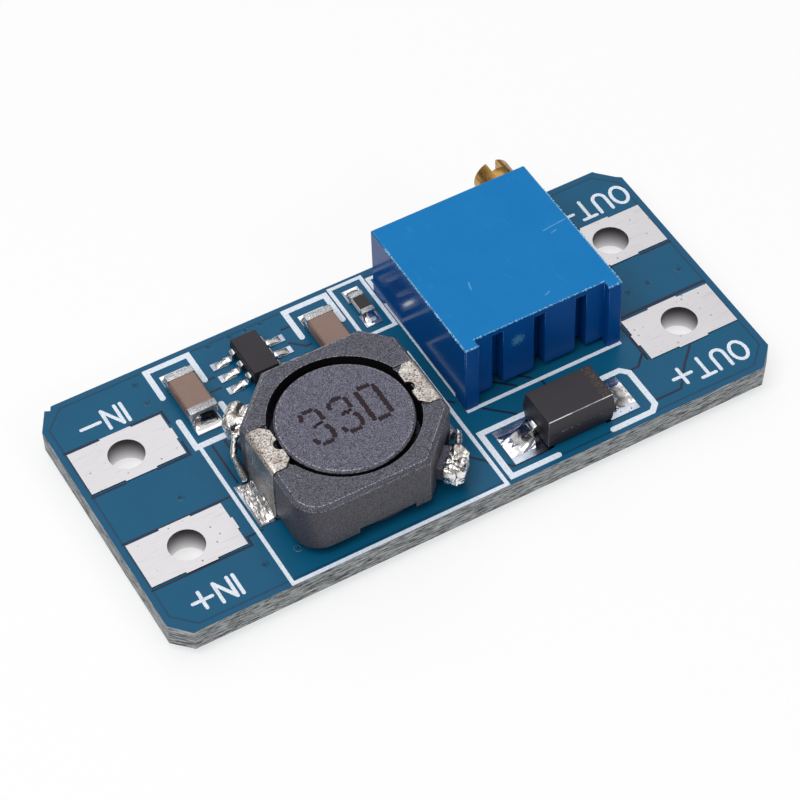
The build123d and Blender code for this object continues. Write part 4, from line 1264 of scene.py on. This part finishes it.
@dataclass
class Inductor:
    """Shielded inductor: ring, drum, wire, clips, and the solder lumps at two corners."""

    edge: float = 0.035 * MM
    gap_inside: float = 3.5 * MM
    gap_outside: float = 4.08 * MM
    number_height: float = 2.45 * MM
    dash: float = 0.26 * MM
    wire: float = 0.19 * MM
    lump_grain: float = 0.8 * MM
    lump_depth: float = 0.34 * MM

    def build(self) -> None:
        """Build every piece of the inductor."""
        low, high = node_box("inductor_ring")
        axis = ((low.x + high.x) / 2, (low.y + high.y) / 2)
        gap = (self.gap_inside, self.gap_outside)
        # Painted shade: both ferrites are painted near black on the upright walls inside the gap round the drum.
        finish = Ferrite("ring_ferrite", (0.146, 0.146, 0.192), (0.015, 0.015, 0.020), gap_axis=axis, gap=gap)
        # The ring's and drum's rounded edges take the pale ferrite, a painted highlight.
        ring = softened("inductor_ring", "inductor_ring_dressed", finish, self.edge, Finish.HIGHLIGHT_FERRITE)
        hand_over(ring, MODULE, "ferrite", "inductor_ring")
        drum = softened("inductor_drum_core", "inductor_drum_dressed", Ferrite(gap_axis=axis, gap=gap), self.edge,
                        Finish.HIGHLIGHT_FERRITE, angle=40)
        hand_over(drum, MODULE, "ferrite", "inductor_drum_core")
        for side in ("right", "left"):
            clip = softened(f"inductor_clip_{side}", f"inductor_clip_{side}_dressed", Finish.CLIP, 0.03 * MM)
            hand_over(clip, MODULE, "tinned_copper", f"inductor_clip_{side}")
            self.lump(side)
            self.land_solder(side)
        self.coil()
        self.number()

    def coil(self) -> None:
        """The turns of wire that show through the gap round the drum."""
        low, high = node_box("inductor_winding")
        turns = max(int((high.z - low.z) / (2 * self.wire)), 1)
        outer = (high.x - low.x) / 2 - self.wire
        centre = (low + high) / 2
        layers = []
        for layer in range(3):
            base = point_mesh([Vector((centre.x, centre.y, low.z + self.wire))])
            piece = coil_graph(turns - 0.5).grow(f"winding_layer_{layer}", base, Finish.COPPER, Wire=self.wire,
                                                 Radius=outer - layer * 1.8 * self.wire,
                                                 Height=high.z - low.z - 2 * self.wire)
            layers.append(piece)
        winding = joined_pieces("winding_turns", layers)
        hand_over(winding, MODULE, "copper_wire", "inductor_winding")

    def number(self) -> None:
        """A plain number printed in dashes on the drum."""
        low, high = node_box("inductor_drum_core")
        x, y = (low.x + high.x) / 2, (low.y + high.y) / 2
        word = Word([Glyph.DIGIT_3, Glyph.DIGIT_3, Glyph.DIGIT_0], (x + 0.12 * MM, y + 0.1 * MM),
                    self.number_height, 0.55 * MM, turned=False, narrow=0.84)
        base = edge_mesh(word.strokes(), high.z + 0.003 * MM)
        piece = dash_graph().grow("printed_number", base, Finish.PRINT, Pitch=0.13 * MM, Length=0.24 * MM,
                                  Width=0.33 * MM, Thickness=0.006 * MM)
        hand_over(piece, MODULE, "legend_ink")

    def lump(self, side: str) -> None:
        """Rough solder round the end of the wire."""
        node = f"inductor_wire_end_{side}"
        mesh = copy_of(node)
        piece = new_object(f"wire_end_{side}", mesh, Finish.COLD_SOLDER)
        remesh = piece.modifiers.new("even", "REMESH")
        remesh.mode = "VOXEL"
        remesh.voxel_size = 0.04 * MM
        remesh.use_smooth_shade = True
        smooth = piece.modifiers.new("soft", "SMOOTH")
        smooth.iterations = 8
        evaluated(piece)
        low, high = node_box("inductor_ring")
        middle = (low + high) / 2
        way = Vector((1.0, -1.0, 0.0)).normalized() * (1.0 if side == "right" else -1.0)
        reach = max((corner.co - middle).dot(way) for corner in piece.data.vertices)
        around = middle + way * (reach - 0.5 * MM)
        lobed(piece, self.lump_grain, self.lump_depth, 3 if side == "right" else 5, around, 1.35 * MM)
        roughened(piece, 0.3 * MM, 0.035 * MM, 11)
        piece.data.materials.clear()
        piece.data.materials.append(made(Finish.COLD_SOLDER))
        hand_over(piece, MODULE, "solder", node)

    def land_solder(self, side: str) -> None:
        """Solder from the clip's foot over its land."""
        low, high = node_box(f"inductor_solder_{side}")
        heading = 0.0 if side == "right" else 180.0
        start = low.x if side == "right" else high.x
        place = Vector((start, (low.y + high.y) / 2, low.z))
        pool = Pool(f"clip_solder_{side}", place, heading, high.x - low.x, high.y - low.y, (high.z - low.z) * 0.5,
                    uneven=0.08 * MM, seed=4, steps=56)
        piece = roughened(pool.build(Finish.CRINKLED), 0.22 * MM, 0.06 * MM, 9, stretch=(1.0, 0.32, 1.0))
        hand_over(piece, MODULE, "solder", f"inductor_solder_{side}")


def joined_pieces(name: str, pieces: list[Object]) -> Object:
    """Several plain pieces as one mesh."""
    shape = bmesh.new()
    for piece in pieces:
        shape.from_mesh(piece.data)
    mesh = bpy.data.meshes.new(name)
    shape.to_mesh(mesh)
    shape.free()
    for material in pieces[0].data.materials:
        mesh.materials.append(material)
    for piece in pieces:
        bpy.data.objects.remove(piece)
    piece = bpy.data.objects.new(name, mesh)
    bpy.context.scene.collection.objects.link(piece)
    return piece


@dataclass
class ConverterChip:
    """Six-lead package with its solder."""

    edge: float = 0.03 * MM

    def build(self) -> None:
        """Build body, leads and solder."""
        body = softened("converter_chip_body", "converter_chip_dressed", Finish.EPOXY, self.edge)
        hand_over(body, MODULE, "package", "converter_chip_body")
        for number in range(1, 7):
            node = f"converter_chip_lead_{number}"
            lead = softened(node, f"{node}_dressed", Finish.SOLDER, 0.025 * MM)
            hand_over(lead, MODULE, "tinned_copper", node)
        self.toes()

    def toes(self) -> None:
        """Solder in front of each lead's foot."""
        pieces = []
        for number in range(1, 7):
            low, high = node_box(f"converter_chip_lead_{number}")
            middle = (low.x + high.x) / 2
            body = node_box("converter_chip_body")
            right = middle > (body[0].x + body[1].x) / 2
            start = high.x if right else low.x
            place = Vector((start - (0.12 * MM if right else -0.12 * MM), (low.y + high.y) / 2, low.z))
            pool = Pool(f"toe_{number}", place, 0.0 if right else 180.0, 0.66 * MM, 0.44 * MM, 0.20 * MM,
                        hollow=0.7, shoulder=0.4, crown=2.0, uneven=0.015 * MM, seed=number, steps=18)
            pieces.append(pool.build(Finish.WRINKLED))
        hand_over(joined_pieces("converter_chip_toes", pieces), MODULE, "solder", "converter_chip_solder")


@dataclass
class Diode:
    """Rectifier with its two leads and their solder."""

    edge: float = 0.05 * MM
    band_width: float = 0.5 * MM
    band_inset: float = 0.2 * MM
    necked: float = 0.62
    seam: float = 0.5

    def build(self) -> None:
        """Build body, leads and solder."""
        low, high = node_box("diode_body")
        end = high.x - self.band_inset
        seam = low.z + (high.z - low.z) * self.seam
        finish = MouldedEpoxy("diode_epoxy", (0.020, 0.0155, 0.0215), band=(end - self.band_width, end), seam=seam)
        # Its rounded edges take the painted highlight along the top front edge.
        body = softened("diode_body", "diode_body_dressed", finish, self.edge, Finish.HIGHLIGHT_EPOXY)
        hand_over(body, MODULE, "package", "diode_body")
        for side in ("cathode", "anode"):
            node = f"diode_lead_{side}"
            lead = softened(node, f"{node}_dressed", Finish.SOLDER, 0.09 * MM, segments=3)
            middle = (node_box(node)[0].y + node_box(node)[1].y) / 2
            for vertex in lead.data.vertices:
                vertex.co.y = middle + (vertex.co.y - middle) * self.necked
            hand_over(lead, MODULE, "tinned_copper", node)
            self.pool(side)
        self.flash()

    def flash(self) -> None:
        """Crumbs of moulding along the seam on the front."""
        low, high = node_box("diode_body")
        seam = low.z + (high.z - low.z) * self.seam
        base = edge_mesh([[(low.x + 0.7 * MM, low.y + 0.01 * MM), (high.x - 0.3 * MM, low.y + 0.01 * MM)]], seam)
        piece = burr_graph().grow("diode_flash", base, Finish.FLASH, Pitch=0.06 * MM, Size=0.04 * MM)
        hand_over(piece, MODULE, "package")

    def pool(self, side: str) -> None:
        """Solder from a lead out over its land."""
        low, high = node_box(f"diode_solder_{side}")
        right = side == "cathode"
        place = Vector((low.x if right else high.x, (low.y + high.y) / 2, low.z))
        pool = Pool(f"diode_pool_{side}", place, 0.0 if right else 180.0, high.x - low.x + 0.1 * MM,
                    (high.y - low.y) * 1.3, (high.z - low.z) * (0.6 if right else 1.0), hollow=2.6,
                    uneven=0.03 * MM, seed=21 if right else 8, steps=34)
        hand_over(pool.build(Finish.WRINKLED), MODULE, "solder", f"diode_solder_{side}")


@dataclass
class ChipParts:
    """The two ceramic capacitors and the chip resistor."""

    edge: float = 0.03 * MM

    def build(self) -> None:
        """Build the three parts."""
        for name in ("input_capacitor", "output_capacitor"):
            dress(f"{name}_body", Finish.CAPACITOR)
            self.ends(name, 0.74)
        dress("resistor_body", Finish.RESISTOR)
        dress("resistor_overcoat", Finish.OVERCOAT)
        self.ends("resistor", 0.9)

    def ends(self, name: str, wetted: float) -> None:
        """End metal of one part, and solder up both ends."""
        pools = []
        for side, heading in (("front", -90.0), ("back", 90.0)):
            node = f"{name}_end_{side}"
            cap = softened(node, f"{node}_dressed", Finish.FROSTED, self.edge)
            hand_over(cap, MODULE, "tinned_copper", node)
            low, high = node_box(node)
            solder_low, solder_high = node_box(f"{name}_solder")
            wall = low.y if side == "front" else high.y
            reach = wall - solder_low.y if side == "front" else solder_high.y - wall
            place = Vector(((low.x + high.x) / 2, wall, solder_low.z))
            pool = Pool(f"{name}_pool_{side}", place, heading, reach * 1.05, (high.x - low.x) * 0.97,
                        (high.z - low.z) * wetted, hollow=2.8, shoulder=0.3, crown=3.0, uneven=0.006 * MM,
                        seed=len(name) + len(side))
            pools.append(pool.build(Finish.SMOOTH_SOLDER))
        hand_over(joined_pieces(f"{name}_pools", pools), MODULE, "solder", f"{name}_solder")


@dataclass
class Trimmer:
    """Multi-turn trimmer: housing, screw and what shows of the rest."""

    edge: float = 0.06 * MM
    burr: float = 0.06 * MM
    burr_pitch: float = 0.04 * MM
    scratches: tuple[tuple[float, float, float, float], ...] = (
        (7.9, 5.3, 9.35, 5.45), (2.6, 4.1, 2.45, 3.6), (8.2, 4.95, 8.5, 5.0), (5.6, 1.3, 5.9, 1.4))

    def build(self) -> None:
        """Build housing, burrs, screw and the small parts."""
        low, high = node_box("trimmer_housing")
        scuff = Vector((low.x + 3.45 * MM, low.y + 0.5 * MM, high.z - 1.5 * MM))
        scratches = tuple((Vector((low.x + x * MM, low.y + y * MM, high.z)),
                           Vector((low.x + u * MM, low.y + v * MM, high.z))) for x, y, u, v in self.scratches)
        plastic = Plastic(scuff_at=scuff, scratches=scratches)
        torn = Plastic("torn_plastic", burred_above=high.z - 1.6 * MM)
        housing = softened("trimmer_housing", "trimmer_housing_dressed", plastic, self.edge, torn)
        hand_over(housing, MODULE, "trimmer_plastic", "trimmer_housing")
        self.burrs()
        screw = softened("trimmer_screw", "trimmer_screw_dressed", Finish.BRASS, 0.03 * MM)
        hand_over(screw, SCREW, "brass", "trimmer_screw")
        dress("trimmer_seal", Finish.RUBBER)
        dress("trimmer_carriage", Finish.CARRIAGE)
        dress("trimmer_wiper", Finish.SPRING)
        dress("trimmer_element", Finish.ELEMENT)
        dress("trimmer_potting", Finish.RESIN)
        for number in (1, 2, 3):
            dress(f"trimmer_pin_{number}", Finish.TIN)
            dress(f"pin_joint_{number}", Finish.SOLDER)

    def burrs(self) -> None:
        """Whitish flakes where the top's edges were torn out of the mould."""
        low, high = node_box("trimmer_housing")
        post, recess, inset = 0.8 * MM, 0.5 * MM, 0.03 * MM
        left, right, front, back = low.x + inset, high.x - inset, low.y + inset, high.y - inset
        ribs = front + recess
        lines = [[(left, back - 1.5 * MM), (left, front), (left + post, front)],
                 [(left + post, ribs), (right - post, ribs)],
                 [(right - post, front), (right, front), (right, back - 2.0 * MM)]]
        base = edge_mesh(lines, high.z - 0.02 * MM)
        piece = burr_graph().grow("trimmer_burrs", base, Finish.BURR, Pitch=self.burr_pitch, Size=self.burr)
        hand_over(piece, MODULE, "trimmer_plastic")


@dataclass
class Studio:
    """Floor, lamps, sky and the camera at the photograph's angle."""

    azimuth: float = -27.718
    elevation: float = 49.637
    roll: float = -2.381
    focal_pixels: float = 3015.97
    picture: float = 800.0
    sensor: float = 36.0
    distance: float = 159.559 * MM
    aim: tuple[float, float] = (-0.380 * MM, -0.683 * MM)
    sky_low: float = 0.10
    sky_high: float = 0.80
    white_share: float = 0.68
    key_power: float = 0.74
    card_power: float = 0.24
    edge_power: float = 0.12

    def build(self) -> None:
        """Set the whole stage."""
        scene = bpy.context.scene
        scene.view_settings.view_transform = "Standard"
        self.camera()
        self.floor()
        self.world()
        self.lamp("key", Vector((-0.16, -0.06, 0.36)), 0.26, self.key_power)
        self.lamp("card", Vector((0.11, 0.30, 0.40)), 0.32, self.card_power)
        self.lamp("edge", Vector((0.135, -0.343, 0.258)), 0.06, self.edge_power)

    def camera(self) -> None:
        """A camera measured from the photograph."""
        azimuth, elevation, roll = (math.radians(a) for a in (self.azimuth, self.elevation, self.roll))
        back = Vector((math.sin(azimuth) * math.cos(elevation), -math.cos(azimuth) * math.cos(elevation),
                       math.sin(elevation)))
        level = Vector((math.cos(azimuth), math.sin(azimuth), 0.0))
        upright = back.cross(level)
        right = level * math.cos(roll) + upright * math.sin(roll)
        up = upright * math.cos(roll) - level * math.sin(roll)
        data = bpy.data.cameras.new("camera")
        data.sensor_width = self.sensor
        data.lens = self.focal_pixels * self.sensor / self.picture
        data.clip_start, data.clip_end = 0.01, 5.0
        place = right * self.aim[0] + up * self.aim[1] + back * self.distance + Vector((0, 0, board_top()))
        camera = bpy.data.objects.new("camera", data)
        turn = Matrix((right, up, back)).transposed().to_4x4()
        camera.matrix_world = Matrix.Translation(place) @ turn
        bpy.context.scene.collection.objects.link(camera)
        bpy.context.scene.camera = camera

    def floor(self) -> None:
        """A pale floor under the module."""
        half = 1.5
        mesh = bpy.data.meshes.new("floor")
        mesh.from_pydata([(-half, -half, 0), (half, -half, 0), (half, half, 0), (-half, half, 0)], [], [(0, 1, 2, 3)])
        floor = new_object("floor", mesh)
        shader = Shader("floor", 0.9)
        mesh.materials.append(self.whitened(shader))

    def whitened(self, shader: Shader) -> Material:
        """A floor that the camera and polished metal see partly as plain white, so that its shadow stays soft."""
        material = shader.done((0.97, 0.97, 0.97))
        rays = shader.add("ShaderNodeLightPath")
        seen = shader.math("ADD", rays.outputs["Is Camera Ray"], rays.outputs["Is Glossy Ray"])
        seen = shader.math("ADD", seen, rays.outputs["Is Transmission Ray"])
        glow = shader.add("ShaderNodeEmission")
        glow.inputs["Strength"].default_value = 1.0
        mix = shader.add("ShaderNodeMixShader")
        shader.feed(mix.inputs[0], shader.math("MULTIPLY", seen, self.white_share))
        shader.tree.links.new(shader.surface.outputs[0], mix.inputs[1])
        shader.tree.links.new(glow.outputs[0], mix.inputs[2])
        shader.tree.links.new(mix.outputs[0], shader.tree.nodes["Material Output"].inputs["Surface"])
        return material

    def world(self) -> None:
        """A sky that is pale overhead and dim near the horizon, as in a dark room."""
        world = bpy.data.worlds.new("sky")
        bpy.context.scene.world = world
        world.use_nodes = True
        tree = world.node_tree
        background = tree.nodes["Background"]
        background.inputs["Color"].default_value = (1.0, 1.0, 1.0, 1.0)
        direction = tree.nodes.new("ShaderNodeTexCoord")
        split = tree.nodes.new("ShaderNodeSeparateXYZ")
        ramp = tree.nodes.new("ShaderNodeMapRange")
        for name, number in (("From Min", 0.25), ("From Max", 0.95), ("To Min", self.sky_low),
                             ("To Max", self.sky_high)):
            ramp.inputs[name].default_value = number
        tree.links.new(direction.outputs["Object"], split.inputs[0])
        tree.links.new(split.outputs["Z"], ramp.inputs["Value"])
        tree.links.new(ramp.outputs["Result"], background.inputs["Strength"])

    def lamp(self, name: str, place: Vector, size: float, power: float) -> None:
        """A square soft box that points at the module."""
        data = bpy.data.lights.new(name, "AREA")
        data.shape = "SQUARE"
        data.size = size
        data.energy = power
        lamp = bpy.data.objects.new(name, data)
        lamp.location = place
        lamp.rotation_mode = "QUATERNION"
        lamp.rotation_quaternion = (-place).to_track_quat("-Z", "Y")
        bpy.context.scene.collection.objects.link(lamp)


def main() -> None:
    """Build the module part by part, then the studio."""
    logging.basicConfig(level=logging.INFO, format="%(message)s")
    for group in (Board(), Inductor(), ConverterChip(), Diode(), ChipParts(), Trimmer(), Studio()):
        group.build()
        log.info("%s is done", type(group).__name__)


if __name__ == "__main__":
    main()
